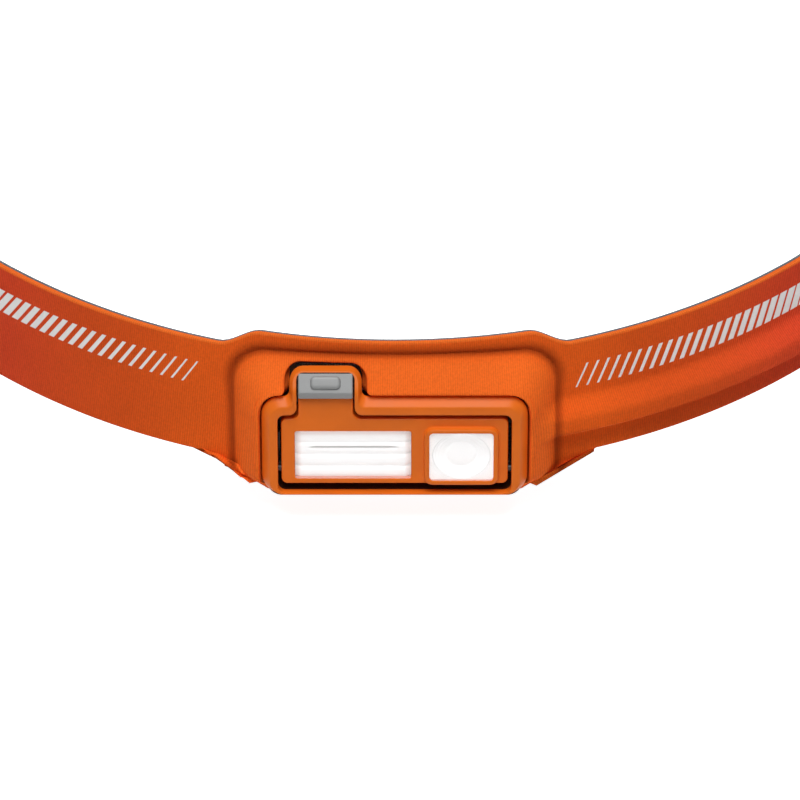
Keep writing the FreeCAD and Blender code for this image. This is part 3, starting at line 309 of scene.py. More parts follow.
def settle(thing: bpy.types.Object, body: str, slot: str, *nodes: str) -> bpy.types.Object:
    """Put a piece on its body and hide the nodes that it stands for."""
    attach(thing, body)
    if nodes:
        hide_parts(*nodes)
    LOG.info("%s: %d faces, on %s", thing.name, len(thing.data.polygons), body)
    return thing


# ------------------------------------------------------------------ places

@dataclass(frozen=True)
class Station:
    """Points of the loop with their directions, each (n, 3).

    Attributes:
        place: point of the band's outer face at mid height.
        out: outward normal of the face.
        up: upward direction within the face.
    """
    place: Array
    out: Array
    up: Array

    def point(self, v: Array, w: Array) -> Array:
        """Points at height v and stand w: place + up·v + out·w."""
        return self.place + self.up * np.asarray(v)[..., None] + self.out * np.asarray(w)[..., None]


@dataclass(frozen=True)
class Loop:
    """Plan curve of the headband: arcs and runs, and the lean of its face.

    Heading h grows from 0 at the front to 180 at the back. On an arc of radius R, x grows by
    R(sin h₂ − sin h₁) and y by R(cos h₁ − cos h₂). The lean is 21 + (8 − 21)·sin²h up to the
    sides and 8·sin h behind them.

    Attributes:
        turns: heading at the start of each piece and at the end of the last, in degrees.
        radii: radius of each arc, 0 for a straight run.
        runs: length of each straight run.
        lean_front, lean_side: lean of the face in degrees.
        middle, centre, front: WORLD z, x and y of the face's middle at the front.
        lap: length of the back that the pack hides.
        hem_gap: how far the band stops short of the rear straight stretch.
    """
    turns: tuple[float, ...] = (0.0, 37.0, 90.0, 90.0, 160.0, 160.0, 180.0, 180.0)
    radii: tuple[float, ...] = (134.0, 60.0, 0.0, 29.0, 0.0, 40.0, 0.0)
    runs: tuple[float, ...] = (0.0, 0.0, 46.0, 0.0, 40.0, 0.0, 34.184)
    lean_front: float = 21.0
    lean_side: float = 8.0
    middle: float = 22.8574
    centre: float = -1.8310
    front: float = -87.1617
    lap: float = 9.0
    hem_gap: float = 2.2

    def marks(self) -> tuple[Array, Array, Array]:
        """Run, x and y at the start of each piece and at the end of the last."""
        h = np.radians(self.turns)
        r, run = np.array(self.radii), np.array(self.runs)
        arc = r > 0
        length = np.where(arc, r * np.diff(h), run)
        x = np.where(arc, r * np.diff(np.sin(h)), run * np.cos(h[:-1]))
        y = np.where(arc, -r * np.diff(np.cos(h)), run * np.sin(h[:-1]))
        return tuple(np.concatenate([[0.0], np.cumsum(a)]) for a in (length, x, y))

    def lean(self, heading: Array) -> Array:
        """Lean of the face in radians at a heading in radians."""
        front = self.lean_front + (self.lean_side - self.lean_front) * np.sin(heading) ** 2
        return np.radians(np.where(heading <= np.pi / 2 + 1e-9, front,
                                   self.lean_side * np.sin(heading)))

    def heading(self, s: Array) -> Array:
        """Heading in radians at a run."""
        return np.radians(np.interp(np.abs(s), self.marks()[0], self.turns))

    def station(self, s: Array) -> Station:
        """Stations at runs s, negative on the wearer's right half."""
        s = np.asarray(s, float)
        run, xs, ys = self.marks()
        k = np.clip(np.searchsorted(run, np.abs(s), side="right") - 1, 0, len(self.radii) - 1)
        h0, h = np.radians(np.array(self.turns)[k]), self.heading(s)
        r, rest = np.array(self.radii)[k], np.abs(s) - run[k]
        x = xs[k] + np.where(r > 0, r * (np.sin(h) - np.sin(h0)), rest * np.cos(h0))
        y = ys[k] + np.where(r > 0, r * (np.cos(h0) - np.cos(h)), rest * np.sin(h0))
        side = np.where(s < 0, -1.0, 1.0)
        zero = np.zeros_like(h)
        lean = self.lean(h)[..., None]
        level = np.stack([side * np.sin(h), -np.cos(h), zero], axis=-1)
        z = np.array([0.0, 0.0, 1.0])
        return Station(np.stack([side * x + self.centre, y + self.front, zero + self.middle], -1),
                       level * np.cos(lean) + z * np.sin(lean),
                       z * np.cos(lean) - level * np.sin(lean))

    def strap_start(self) -> float:
        """Run at which the rear straight stretch with the adjuster starts."""
        return float(self.marks()[0][4])

    def ends(self) -> tuple[float, float]:
        """Runs of the band's two ends: at the ring on the left, and under the pack on the right."""
        return -self.strap_start() + self.hem_gap, float(self.marks()[0][-1]) - self.lap


LOOP = Loop()
LOOP_HEART = np.array([0.0, 0.0, 20.0])


@dataclass(frozen=True)
class LampPlace:
    """The bezel's frame: origin at the middle of its bottom edge, leaning back by 21°.

    Attributes:
        x, y, z: WORLD place of the origin.
        lean: lean in degrees.
        band_middle: LAMP height of the band's middle line.
    """
    x: float = -1.8310
    y: float = -97.3768
    z: float = 9.6402
    lean: float = 21.0
    band_middle: float = 16.0

    def world(self, p: Array) -> Array:
        """WORLD points of LAMP points (…, 3)."""
        p = np.asarray(p, float)
        y, z = rotate(p[..., 1], p[..., 2], -self.lean)
        return np.stack([p[..., 0] + self.x, y + self.y, z + self.z], axis=-1)

    def local(self, p: Array) -> Array:
        """LAMP points of WORLD points (…, 3)."""
        y, z = rotate(p[..., 1] - self.y, p[..., 2] - self.z, self.lean)
        return np.stack([p[..., 0] - self.x, y, z], axis=-1)

    def flat(self, outline: Array, y: float | Array) -> Array:
        """WORLD points of an (x, z) outline at a depth y."""
        y = np.broadcast_to(y, outline.shape[:1])
        return self.world(np.stack([outline[:, 0], y, outline[:, 1]], axis=1))


LAMP = LampPlace()


def on_band(x: Array, z: Array) -> tuple[Array, Array]:
    """Run s and height v of the band point straight behind a LAMP point (x, z).

    Three rounds of h = asin(x / (R − v·sin λ)) and
    v = (z − middle − R(1 − cos h)·sin λ₀) / (up · up₀), with λ the lean and λ₀ that at the front.
    """
    radius, lean0, middle = LOOP.radii[0], np.radians(LOOP.lean_front), LAMP.band_middle
    v = z - middle
    for _ in range(3):
        lean = LOOP.lean(np.abs(np.arcsin(np.clip(x / radius, -1, 1))))
        h = np.arcsin(x / (radius - v * np.sin(lean)))
        rise = np.cos(lean) * np.cos(lean0) + np.cos(h) * np.sin(lean) * np.sin(lean0)
        v = (z - middle - radius * (1 - np.cos(h)) * np.sin(lean0)) / rise
    return radius * h, v


# ------------------------------------------------------------------ band and pod

@dataclass(frozen=True)
class BandShape:
    """Outline and relief of the woven band and the pod that is formed into its front.

    Attributes:
        half: half the band's height.
        seam: run at which the pod's sheet meets the plain strips.
        hem: height of the strips' top edge.
        pod_rise: how much higher the top edge is along the pod.
        lead_stand, lead_drop, lead_radius: place and radius of the lead in its channel.
        face: depth of the pod's face behind the bezel's.
        rim_half to rim_corner: rounded box of the pod's rim, in LAMP's (x, z).
        root_half to root_corner: rounded box of the pod's root.
    """
    half: float = 12.5
    seam: float = 40.0
    hem: float = 11.8
    pod_rise: float = 3.7
    lead_stand: float = 3.2
    lead_drop: float = 3.6
    lead_radius: float = 1.25
    face: float = 0.5
    rim_half: float = 27.4
    rim_bottom: float = -0.9
    rim_top: float = 22.2
    rim_corner: float = 5.5
    root_half: float = 32.3
    root_bottom: float = -3.2
    root_top: float = 28.7
    root_corner: float = 7.0

    def top(self, s: Array) -> Array:
        """Height of the top edge: the hem's line, raised along the pod."""
        return self.hem + self.pod_rise * smooth(37.0, 28.0, np.abs(s))

    def bottom(self, s: Array) -> Array:
        """Height of the bottom edge, lowered under the lamp."""
        s = np.abs(s)
        return -self.half - 3.2 * smooth(36.0, 27.0, s) - 3.4 * smooth(27.5, 23.0, s)

    def ridge(self, s: Array, v: Array) -> Array:
        """Stand of the lead's channel on the right side: a soft rise, a flat and a quick fall."""
        lean = LOOP.lean(LOOP.heading(s))
        stand = self.lead_stand * np.cos(lean) - self.lead_drop * np.sin(lean)
        drop = -self.lead_stand * np.sin(lean) - self.lead_drop * np.cos(lean)
        rise = smooth(5.2, 0.6, v - drop)
        fall = smooth(-3.7, -1.9, v - drop)
        reach = smooth(26.0, 33.0, s) * (1.0 - smooth(272.0, 286.0, s))
        return (stand + self.lead_radius + 0.3) * rise ** 1.3 * fall * reach

    @staticmethod
    def box(x: Array, z: Array, half: float, low: float, high: float, corner: float) -> Array:
        """Distance outside a rounded box: |max(q, 0)| + min(max(q), 0) − corner."""
        qx = np.abs(x) - half + corner
        qz = np.abs(z - (low + high) / 2) - (high - low) / 2 + corner
        outside = np.hypot(np.maximum(qx, 0), np.maximum(qz, 0))
        return outside + np.minimum(np.maximum(qx, qz), 0) - corner

    def share(self, x: Array, z: Array) -> Array:
        """0 on the pod's rim, 1 at its root: d_rim / (d_rim − d_root)."""
        rim = self.box(x, z, self.rim_half, self.rim_bottom, self.rim_top, self.rim_corner)
        root = self.box(x, z, self.root_half, self.root_bottom, self.root_top, self.root_corner)
        return rim / np.maximum(rim - root, 0.5)

    def sheet(self, s: Array, v: Array) -> tuple[Array, Array]:
        """Points of the pod's outer face at band places (s, v), and the share down its slope.

        The band's own surface, raised along LAMP's normal by (y_back − y_front)(1 − share), which
        falls to nothing at the root, with a fillet there, and is tucked in by 0.55 along the
        root's top. Under the bezel's bottom the sheet turns back.
        """
        station = LOOP.station(s)
        ridge = self.ridge(s, v)
        base = LAMP.local(station.point(v, ridge))
        x, y, z = base[..., 0], base[..., 1], base[..., 2]
        share = self.share(x, z)
        front = self.face + 4.6 * smooth(3.6, -0.6, z)
        back = y + 4.4 * smooth(0.4, -3.0, z) * smooth(28.0, 23.0, np.abs(x))
        lift = soft_max((back - front) * (1.0 - np.maximum(share, 0.0)), np.zeros_like(y), 0.9)
        tuck = np.exp(-((share - 1.03) / 0.06) ** 2) * smooth(20.0, 26.0, z)
        lift = lift - 0.55 * tuck
        return LAMP.world(np.stack([x, back - lift, z], axis=-1)), share


BAND = BandShape()


@dataclass(frozen=True)
class LampOutline:
    """The bezel's outline with its button tab, in LAMP's (x, z)."""
    half: float = 26.5
    bottom: float = 0.0
    top: float = 21.3
    tab_middle: float = -13.7
    tab_half: float = 7.2
    tab_top: float = 26.7

    def corners(self, grow: float = 0.0, tab_grow: float = 0.0,
                bottom_grow: float = 0.0) -> list[tuple[float, float]]:
        """Corner points, anticlockwise from the lower left, grown outwards."""
        a, low, high = self.half + grow, self.bottom - bottom_grow, self.top + grow
        left, right = self.tab_middle - self.tab_half, self.tab_middle + self.tab_half
        peak = self.tab_top + tab_grow * 0.55
        return [(-a, low), (a, low), (a, high), (right + tab_grow, high),
                (right + tab_grow, peak), (left - tab_grow, peak), (left - tab_grow, high),
                (-a, high)]


class Headband:
    """Woven outer sheet, knitted liner and the padding behind the lamp."""

    def __init__(self, outline: LampOutline) -> None:
        """Keep the outline that the sheet's opening follows."""
        self.outline = outline
        self.levels = 49
        self.step = 1.25

    def opening(self, bottom: int, side: int, top: int) -> Array:
        """Opening's outline, in four stretches that match the pod sheet's four sides.

        The stretches run from corner to corner: bottom, right, top with the tab, left. Each is
        sampled at even steps of its length, the tab's stretch at steps that open out beside it.

        Args:
            bottom: points along the bottom.
            side: points along each side.
            top: points along the top.

        Returns:
            Points (bottom + 2·side + top, 2) in LAMP's (x, z).
        """
        corners = self.outline.corners(0.42, 0.95, 0.75)
        ring = rounded_outline(corners, [4.2, 4.2, 4.0, 1.0, 3.2, 3.2, 1.0, 4.0], 14)
        run = np.concatenate([[0.0], np.cumsum(np.linalg.norm(
            np.diff(np.vstack([ring, ring[:1]]), axis=0), axis=1))])
        near = [int(np.argmin(np.linalg.norm(ring - np.array(corners[k]), axis=1)))
                for k in (0, 1, 2, 7)]
        at = run[near]
        parts = [np.linspace(at[0], at[1], bottom, endpoint=False),
                 np.linspace(at[1], at[2], side, endpoint=False),
                 np.linspace(at[2], at[3], top, endpoint=False),
                 np.linspace(at[3], at[0] + run[-1], side, endpoint=False)]
        where = np.concatenate(parts) % run[-1]
        closed = np.vstack([ring, ring[:1]])
        return np.stack([np.interp(where, run, closed[:, k]) for k in (0, 1)], axis=1)

    def edge(self, bottom: int, side: int, top: int, opening: Array) -> Array:
        """Outer boundary of the pod's sheet, point for point with the opening.

        Points go straight down below the lamp and fan out at its lower corners. Above it they
        spread by length, with places of their own at the tab's foot and head.

        Args:
            bottom, side, top: points along the opening's stretches.
            opening: the opening's outline.

        Returns:
            Points (n, 2) as (s, v).
        """
        seam = BAND.seam
        foot_x = opening[:bottom, 0]
        reach = float(np.max(np.abs(foot_x)))
        s_bottom = np.interp(foot_x, [-reach, -25.2, 25.2, reach], [-seam, -26.4, 26.4, seam])
        low, high = float(BAND.bottom(seam)), float(BAND.top(seam))
        rise = np.linspace(low, high, self.levels)[:-1]
        x = opening[bottom + side:bottom + side + top, 0]
        z = opening[bottom + side:bottom + side + top, 1]
        length = np.concatenate([[0.0], np.cumsum(np.hypot(np.diff(x), np.diff(z)))])
        length /= length[-1] * top / (top - 1)
        foot = np.where(z > self.outline.top + 1.3)[0]
        head = np.where(z > self.outline.tab_top - 0.9)[0]
        marks = length[[0, foot[0], head[0], head[-1], foot[-1], top - 1]]
        s_top = np.interp(length, marks, [seam, 0.8, -4.2, -23.2, -28.6, -seam])
        return np.concatenate([
            np.stack([s_bottom, BAND.bottom(s_bottom)], axis=1),
            np.stack([np.full(side, seam), rise], axis=1),
            np.stack([s_top, BAND.top(s_top)], axis=1),
            np.stack([np.full(side, -seam), np.linspace(high, low, self.levels)[:-1]], axis=1)])

    def fabric(self) -> bpy.types.Object:
        """Woven sheet: the pod's ring, from the turned-in opening to the seams, and both strips.

        Ring rows lie on straight lines in (s, v) from the opening to the outer boundary. Strip
        points are the loop's stations at even heights, raised by the lead's channel.
        """
        side, bottom, top = self.levels - 1, 150, 190
        hole = self.opening(bottom, side, top)
        outer = self.edge(bottom, side, top, hole)
        skin = Skin.empty()
        rolls = [(-0.9, 3.6), (-0.1, 2.2), (0.0, 0.8), (0.1, 0.36), (0.3, 0.1), (0.62, 0.0)]
        shares = np.linspace(0.0, 1.0, 27)[1:] ** 1.12
        rows, shapes = [], []
        start = np.stack(on_band(*offset(hole, rolls[-1][0]).T), axis=1)
        for grow, depth in rolls:
            s, v = on_band(*offset(hole, grow).T)
            points, share = BAND.sheet(s, v)
            local = LAMP.local(points)
            local[:, 1] += depth
            rows.append(LAMP.world(local))
            shapes.append((s, v, share))
        for u in shares:
            s, v = (start + (outer - start) * u).T
            points, share = BAND.sheet(s, v)
            rows.append(points)
            shapes.append((s, v, share))
        s, v, share = (np.stack([shape[k] for shape in shapes]) for k in range(3))
        skin.add(np.stack(rows), quads(len(rows), len(hole), True), run=s, high=v,
                 margin=BAND.top(s) - v, slope=share)
        left_end, right_end = LOOP.ends()
        for s0, s1 in ((BAND.seam, right_end), (left_end, -BAND.seam)):
            columns = int(abs(s1 - s0) / self.step) + 1
            level = np.linspace(0.0, 1.0, self.levels)[:, None]
            s = np.linspace(s0, s1, columns)[None, :] + 0.0 * level
            v = BAND.bottom(s) + (BAND.top(s) - BAND.bottom(s)) * level
            points = LOOP.station(s).point(v, BAND.ridge(s, v))
            skin.add(points, quads(self.levels, columns), run=s, high=v,
                     margin=BAND.top(s) - v, slope=2.0 + 0.0 * s)
        thing = skin.mesh("band_fabric", weld=0.004, inside=LOOP_HEART)
        thicken(thing, 1.1)
        soften(thing, 0.28, 2, 50.0)
        return thing

    def liner(self) -> bpy.types.Object:
        """Knitted liner behind the whole band: a grid at the band's own places, stood 1.4 inside.

        At the ends of the heights it bows out to the fabric's edge, so that a thin line of it
        shows along the top.
        """
        skin = Skin.empty()
        s0, s1 = LOOP.ends()
        columns = int((s1 - s0) / self.step) + 1
        level = np.linspace(0.0, 1.0, 21)[:, None]
        s = np.linspace(s0, s1, columns)[None, :] + 0.0 * level
        low, high = BAND.bottom(s) + 0.15, BAND.top(s) + 0.02
        v = low + (high - low) * level
        behind = 4.4 * smooth(-14.0, -18.6, v) * smooth(36.0, 26.0, np.abs(s))
        points = LOOP.station(s).point(v, -1.3 - 0.12 * np.sin(np.pi * level) - behind)
        skin.add(points, quads(21, columns), run=s, high=v)
        thing = skin.mesh("band_liner", inside=LOOP_HEART)
        thicken(thing, 0.6)
        soften(thing, 0.2, 2, 50.0)
        return thing

    def padding(self) -> bpy.types.Object:
        """Foam padding in its knitted cover, crowned behind the lamp.

        Both faces are grids over the padding's outline in (s, v), at shares a along and b up. The
        front lies on the liner. The back stands 5.6·(1 − |a|⁶ − |b|⁶)^½ behind it, less 0.9 along
        three sewn channels.
        """
        columns, rows, half = 71, 41, 34.0
        a = np.linspace(-1.0, 1.0, columns)[None, :]
        b = np.linspace(-1.0, 1.0, rows)[:, None]
        s, high, low = half * a + 0.0 * b, BAND.top(half * a), BAND.bottom(half * a)
        v = 0.5 * (high + low) - 0.2 + (0.5 * (high - low) - 0.7) * b
        crown = np.sqrt(np.clip(1.0 - (np.abs(a) ** 6 + np.abs(b) ** 6), 0.0, 1.0))
        sewn = sum(np.exp(-((v - c) / 0.8) ** 2) for c in (-6.5, 0.6, 7.7))
        deep = 5.6 * crown - 0.9 * sewn * crown
        station, lamp_side = LOOP.station(s), 1 - np.abs(a) ** 4
        front = station.point(v, -2.4 - 3.6 * smooth(-12.0, -16.0, v) * lamp_side)
        back = station.point(v, -2.15 - deep - 3.0 * smooth(-14.0, -18.0, v) * lamp_side)
        order = np.arange(rows * columns).reshape(rows, columns)
        rim = [*order[0], *order[1:, -1], *order[-1, -2::-1], *order[-2:0:-1, 0]]
        skin = Skin.empty()
        skin.add(front, quads(rows, columns))
        skin.add(back, quads(rows, columns)[:, ::-1])
        skin.faces += [[int(rim[k]), int(rim[k - 1]), int(rim[k - 1]) + order.size,
                        int(rim[k]) + order.size] for k in range(len(rim))]
        return skin.mesh("pod_padding", weld=0.01)


# ------------------------------------------------------------------ lamp housing

def even(thing: bpy.types.Object, degrees: float = 30.0) -> bpy.types.Object:
    """Flat faces stay flat and bevels stay round: crisp edges and normals weighed by area."""
    crease(thing, degrees)
    step = thing.modifiers.new("even", "WEIGHTED_NORMAL")
    step.keep_sharp = True
    step.weight = 80
    return thing


def walked(corners: list[tuple[float, float]], radii: list[float], steps: int = 9,
           between: int = 10) -> Array:
    """Rounded outline with even points on its straight sides too, alike for alike corners."""
    arcs = rounded_outline(corners, radii, steps).reshape(len(corners), steps, 2)
    share = np.linspace(0.0, 1.0, between + 2)[1:-1][None, :, None]
    last, first = arcs[:, -1:, :], np.roll(arcs[:, :1, :], -1, axis=0)
    return np.concatenate([arcs, last + (first - last) * share], axis=1).reshape(-1, 2)


def fill(outer: Array, *holes: Array) -> tuple[Array, list[list[int]]]:
    """Flat triangle filling between an outline and the holes in it.

    A triangle is kept where a line from its middle crosses the outlines an odd number of times.
    """
    rings = [outer, *holes]
    points = np.vstack(rings)
    edges, start = [], 0
    for ring in rings:
        n = len(ring)
        edges += [(start + k, start + (k + 1) % n) for k in range(n)]
        start += n
    found = delaunay_2d_cdt([Vector(p) for p in points], edges, [], 0, 1e-7)
    flat = np.array([tuple(p) for p in found[0]])
    if len(flat) != len(points):
        raise ValueError("outlines touch")
    tri = np.array([list(f) for f in found[2]])
    middle = flat[tri].mean(axis=1)
    a = points[np.array(edges)[:, 0]][None]
    b = points[np.array(edges)[:, 1]][None]
    mx, mz = middle[:, :1], middle[:, 1:]
    spans = (a[..., 1] > mz) != (b[..., 1] > mz)
    rise = np.where(np.abs(b[..., 1] - a[..., 1]) < 1e-12, 1e-12, b[..., 1] - a[..., 1])
    hit = mx < (b[..., 0] - a[..., 0]) * (mz - a[..., 1]) / rise + a[..., 0]
    inside = (spans & hit).sum(axis=1) % 2 == 1
    return flat, tri[inside].tolist()


@dataclass(frozen=True)
class Bezel:
    """Front frame of the housing with the button's tab on top.

    Attributes:
        outline: outer outline.
        half, low, high: the window's half width and its two heights.
        slot_half, slot_top: the button slot in the tab.
        depth: depth of the frame.
    """
    outline: LampOutline
    half: float = 23.3
    low: float = 0.7
    high: float = 17.8
    slot_half: float = 5.75
    slot_top: float = 26.15
    depth: float = 1.9

    @staticmethod
    def lean_back(z: Array) -> Array:
        """Depth of the face at a height: 0 below the fold and 0.7·(z − fold) above, softly."""
        d = (z - 22.9) * 0.7
        return soft_max(d, np.zeros_like(d), 0.55)

    def ring(self, t: float) -> Array:
        """Outline at a share t of each wall's width, from the outer to the inner, as (x, z)."""
        o = self.outline
        a = o.half + (self.half - o.half) * t
        low = o.bottom + (self.low - o.bottom) * t
        high = o.top + (self.high - o.top) * t
        tab = o.tab_half + (self.slot_half - o.tab_half) * t
        peak = o.tab_top + (self.slot_top - o.tab_top) * t
        left, right = o.tab_middle - tab, o.tab_middle + tab
        mix = [(1 - t) * p + t * q for p, q in zip((4.2, 4.2, 3.9, 1.2, 2.7, 2.7, 1.2, 3.9),
                                                   (1.5, 1.5, 1.5, 1.6, 1.3, 1.3, 1.6, 1.5))]
        return walked([(-a, low), (a, low), (a, high), (right, high), (right, peak),
                       (left, peak), (left, high), (-a, high)], mix)

    def build(self) -> bpy.types.Object:
        """Closed ring of loops: outer wall, wide bevel, face, inner edge, inner wall and back.

        Each row is a share of the wall's width and a depth, so the bevel is wide on the top bar
        and thin below.
        """
        rows = [(0.0, self.depth), (0.0, 1.78), (0.015, 1.62), (0.05, 1.48), (0.2, 0.98),
                (0.34, 0.5), (0.44, 0.16), (0.48, 0.05), (0.53, 0.0), (0.62, 0.0), (0.78, 0.0),
                (0.92, 0.0), (0.955, 0.03), (0.985, 0.12), (1.0, 0.3), (1.0, self.depth)]
        loops = []
        for t, depth in rows:
            flat = self.ring(t)
            loops.append(LAMP.flat(flat, self.lean_back(flat[:, 1]) + depth))
        skin = Skin.empty().loops(loops + loops[:1])
        return even(skin.mesh("bezel"), 24.0)


@dataclass(frozen=True)
class Panel:
    """Tilting panel: face with its stem, two windows and the spot light's raised frame.

    Attributes:
        half, low, high: the face's half width and its two heights.
        stem_middle, stem_half, stem_top: the stem that carries the button.
        face, back: depths of its front and back.
        flood, spot: middle, width, bottom and height of each window.
        frame_width, proud: width of the spot light's frame, and how far it stands out.
    """
    half: float = 22.6
    low: float = 2.5
    high: float = 16.75
    stem_middle: float = -13.7
    stem_half: float = 5.45
    stem_top: float = 21.4
    face: float = 0.8
    back: float = 7.0
    flood: tuple[float, float, float, float] = (-8.3, 23.2, 3.6, 10.4)
    spot: tuple[float, float, float, float] = (13.3, 12.8, 3.6, 10.4)
    frame_width: float = 1.0
    proud: float = 1.2

    def ring(self, inset: float) -> Array:
        """Outline of the face and its stem, moved inwards."""
        a, left = self.half - inset, self.stem_middle - self.stem_half + inset
        right = self.stem_middle + self.stem_half - inset
        low, high, top = self.low + inset, self.high - inset, self.stem_top - inset
        soft = max(1.2 - inset, 0.2)
        return walked([(-a, low), (a, low), (a, high), (right, high), (right, top), (left, top),
                       (left, high), (-a, high)],
                      [soft, soft, soft, 1.5 + inset, 0.4, 0.4, 1.2 + inset, soft])

    @staticmethod
    def window(place: tuple[float, float, float, float], grow: float, radius: float) -> Array:
        """Outline of a window grown outwards: place is its middle, width, bottom and height."""
        middle, width, low, height = place
        left, right = middle - width / 2 - grow, middle + width / 2 + grow
        low, high = low - grow, low + height + grow
        return walked([(left, low), (right, low), (right, high), (left, high)], [radius] * 4)

    @staticmethod
    def heart() -> Array:
        """A WORLD point behind the middle of the face, which open surfaces turn away from."""
        return LAMP.world(np.array([0.0, 14.0, 10.0]))

    def build(self) -> bpy.types.Object:
        """Outer wall and bevel, flat face round the windows, window walls and the raised frame."""
        y, crest, skin = self.face, self.face - self.proud, Skin.empty()
        wall = [(0.0, self.back), (0.0, y + 0.36), (0.06, y + 0.14), (0.2, y + 0.02), (0.34, y),
                (0.46, y)]
        skin.loops([LAMP.flat(self.ring(inset), depth) for inset, depth in wall])
        flood = [(0.3, y), (0.16, y), (0.05, y + 0.05), (0.0, y + 0.18), (0.0, y + 1.2)]
        wide = self.frame_width
        foot = [(wide + 0.42, y), (wide + 0.3, y), (wide + 0.1, y - 0.06), (wide, y - 0.22),
                (wide - 0.02, crest + 0.42), (wide - 0.14, crest + 0.16), (wide - 0.4, crest),
                (0.24, crest), (0.08, crest + 0.06), (0.0, crest + 0.2), (0.0, y + 1.2)]
        for place, rows, radius in ((self.flood, flood, 0.5), (self.spot, foot, 0.8)):
            skin.loops([LAMP.flat(self.window(place, grow, radius + grow), depth)
                        for grow, depth in rows][::-1])
        holes = [self.window(self.flood, 0.3, 0.8), self.window(self.spot, wide + 0.42, 2.22)]
        holes[1] = np.stack([holes[1][:, 0], np.maximum(holes[1][:, 1], self.low + 0.62)], axis=1)
        flat, faces = fill(self.ring(0.46), *holes)
        skin.add(LAMP.flat(flat, y), faces)
        thing = skin.mesh("panel_face", weld=0.002, inside=self.heart())
        return even(thing, 28.0)


class Optics:
    """Clear covers and the white trays behind them."""

    def __init__(self, panel: Panel) -> None:
        """Keep the panel whose windows these fill."""
        self.panel = panel

    def cover(self, place: tuple[float, float, float, float], y: float, radius: float,
              name: str) -> bpy.types.Object:
        """Pane of a window, crowned by 0.22·(1 − p⁴), p the share of the way out to its edge.

        Args:
            place: the window's middle, width, bottom and height.
            y: depth of the pane's edge.
            radius: radius of its corners.
            name: object name.

        Returns:
            The pane with its side wall.
        """
        edge = Panel.window(place, -0.03, radius)
        middle = np.array([place[0], place[2] + place[3] / 2])
        loops = [LAMP.flat(edge, y + 0.9)]
        for share in (1.0, 0.98, 0.93, 0.84, 0.7, 0.5, 0.25, 0.0):
            flat = middle + (edge - middle) * max(share, 1e-3)
            loops.append(LAMP.flat(flat, y - 0.22 * (1.0 - share ** 4)))
        skin = Skin.empty().loops(loops)
        return even(skin.mesh(name, weld=0.02, inside=self.panel.heart()), 40.0)

    def flood_tray(self) -> bpy.types.Object:
        """White tray behind the flood cover: lengthwise cylinders, a grid over (x, z).

        Depth grows by 0.5·(1 − |sin π(4p + 0.12)|)^1.5 at the share p of the height, by 1.1 in a
        narrow slit above the middle for the light strip, and by 0.5 at the ends.
        """
        middle, width, low, height = self.panel.flood
        x = np.linspace(middle - width / 2 + 0.02, middle + width / 2 - 0.02, 90)[None, :]
        z = np.linspace(low + 0.02, low + height - 0.02, 120)[:, None]
        p = (z - low) / height
        wave = np.abs(np.sin(np.pi * (p * 4.0 + 0.12)))
        slit = np.exp(-((p - 0.62) / 0.016) ** 2) * smooth(width / 2 - 2.2, width / 2 - 4.4,
                                                            np.abs(x - middle))
        ends = smooth(width / 2 - 1.4, width / 2, np.abs(x - middle))
        y = self.panel.face + 0.75 + 0.5 * (1 - wave) ** 1.5 + 1.1 * slit + 0.5 * ends + 0.0 * x
        skin = Skin.empty()
        # The dark attribute is painted shade: in the deep slit and at the ends.
        skin.add(LAMP.world(np.stack([x + 0 * z, y, z + 0 * x], axis=-1)), quads(120, 90),
                 dark=slit + 0.25 * ends)
        return skin.mesh("flood_tray", inside=self.panel.heart())

    def spot_tray(self) -> bpy.types.Object:
        """White bowl behind the spot cover: rings of the radius r, a grid over (x, z).

        A bowl 1.1 deep within 5.1, rings 0.62 apart on its wall, a dome within 2.5, and a step of
        0.3 to the flat corners.
        """
        middle, width, low, height = self.panel.spot
        x = np.linspace(-width / 2 + 0.02, width / 2 - 0.02, 110)[None, :]
        z = np.linspace(-height / 2 + 0.02, height / 2 - 0.02, 100)[:, None]
        r = np.hypot(x * 0.86, z)
        rings = 0.09 * np.abs(np.sin(np.pi * np.clip(r, 2.4, 5.0) / 0.62))
        dome = 0.8 * np.sqrt(np.clip(1.0 - (r / 2.5) ** 2, 0.0, 1.0)) ** 1.2
        bowl = 1.1 * smooth(5.1, 2.6, r)
        step = 0.3 * smooth(4.85, 4.98, r)
        y = self.panel.face - 0.2 + bowl - dome + rings * smooth(5.0, 4.6, r) - step
        skin = Skin.empty()
        # The dark attribute is painted shade: a ring at the bowl's step.
        skin.add(LAMP.world(np.stack([x + middle + 0 * z, y, z + low + height / 2 + 0 * x], -1)),
                 quads(100, 110), dark=smooth(0.14, 0.0, np.abs(r - 4.92)) * 0.35)
        return skin.mesh("spot_tray", inside=self.panel.heart())


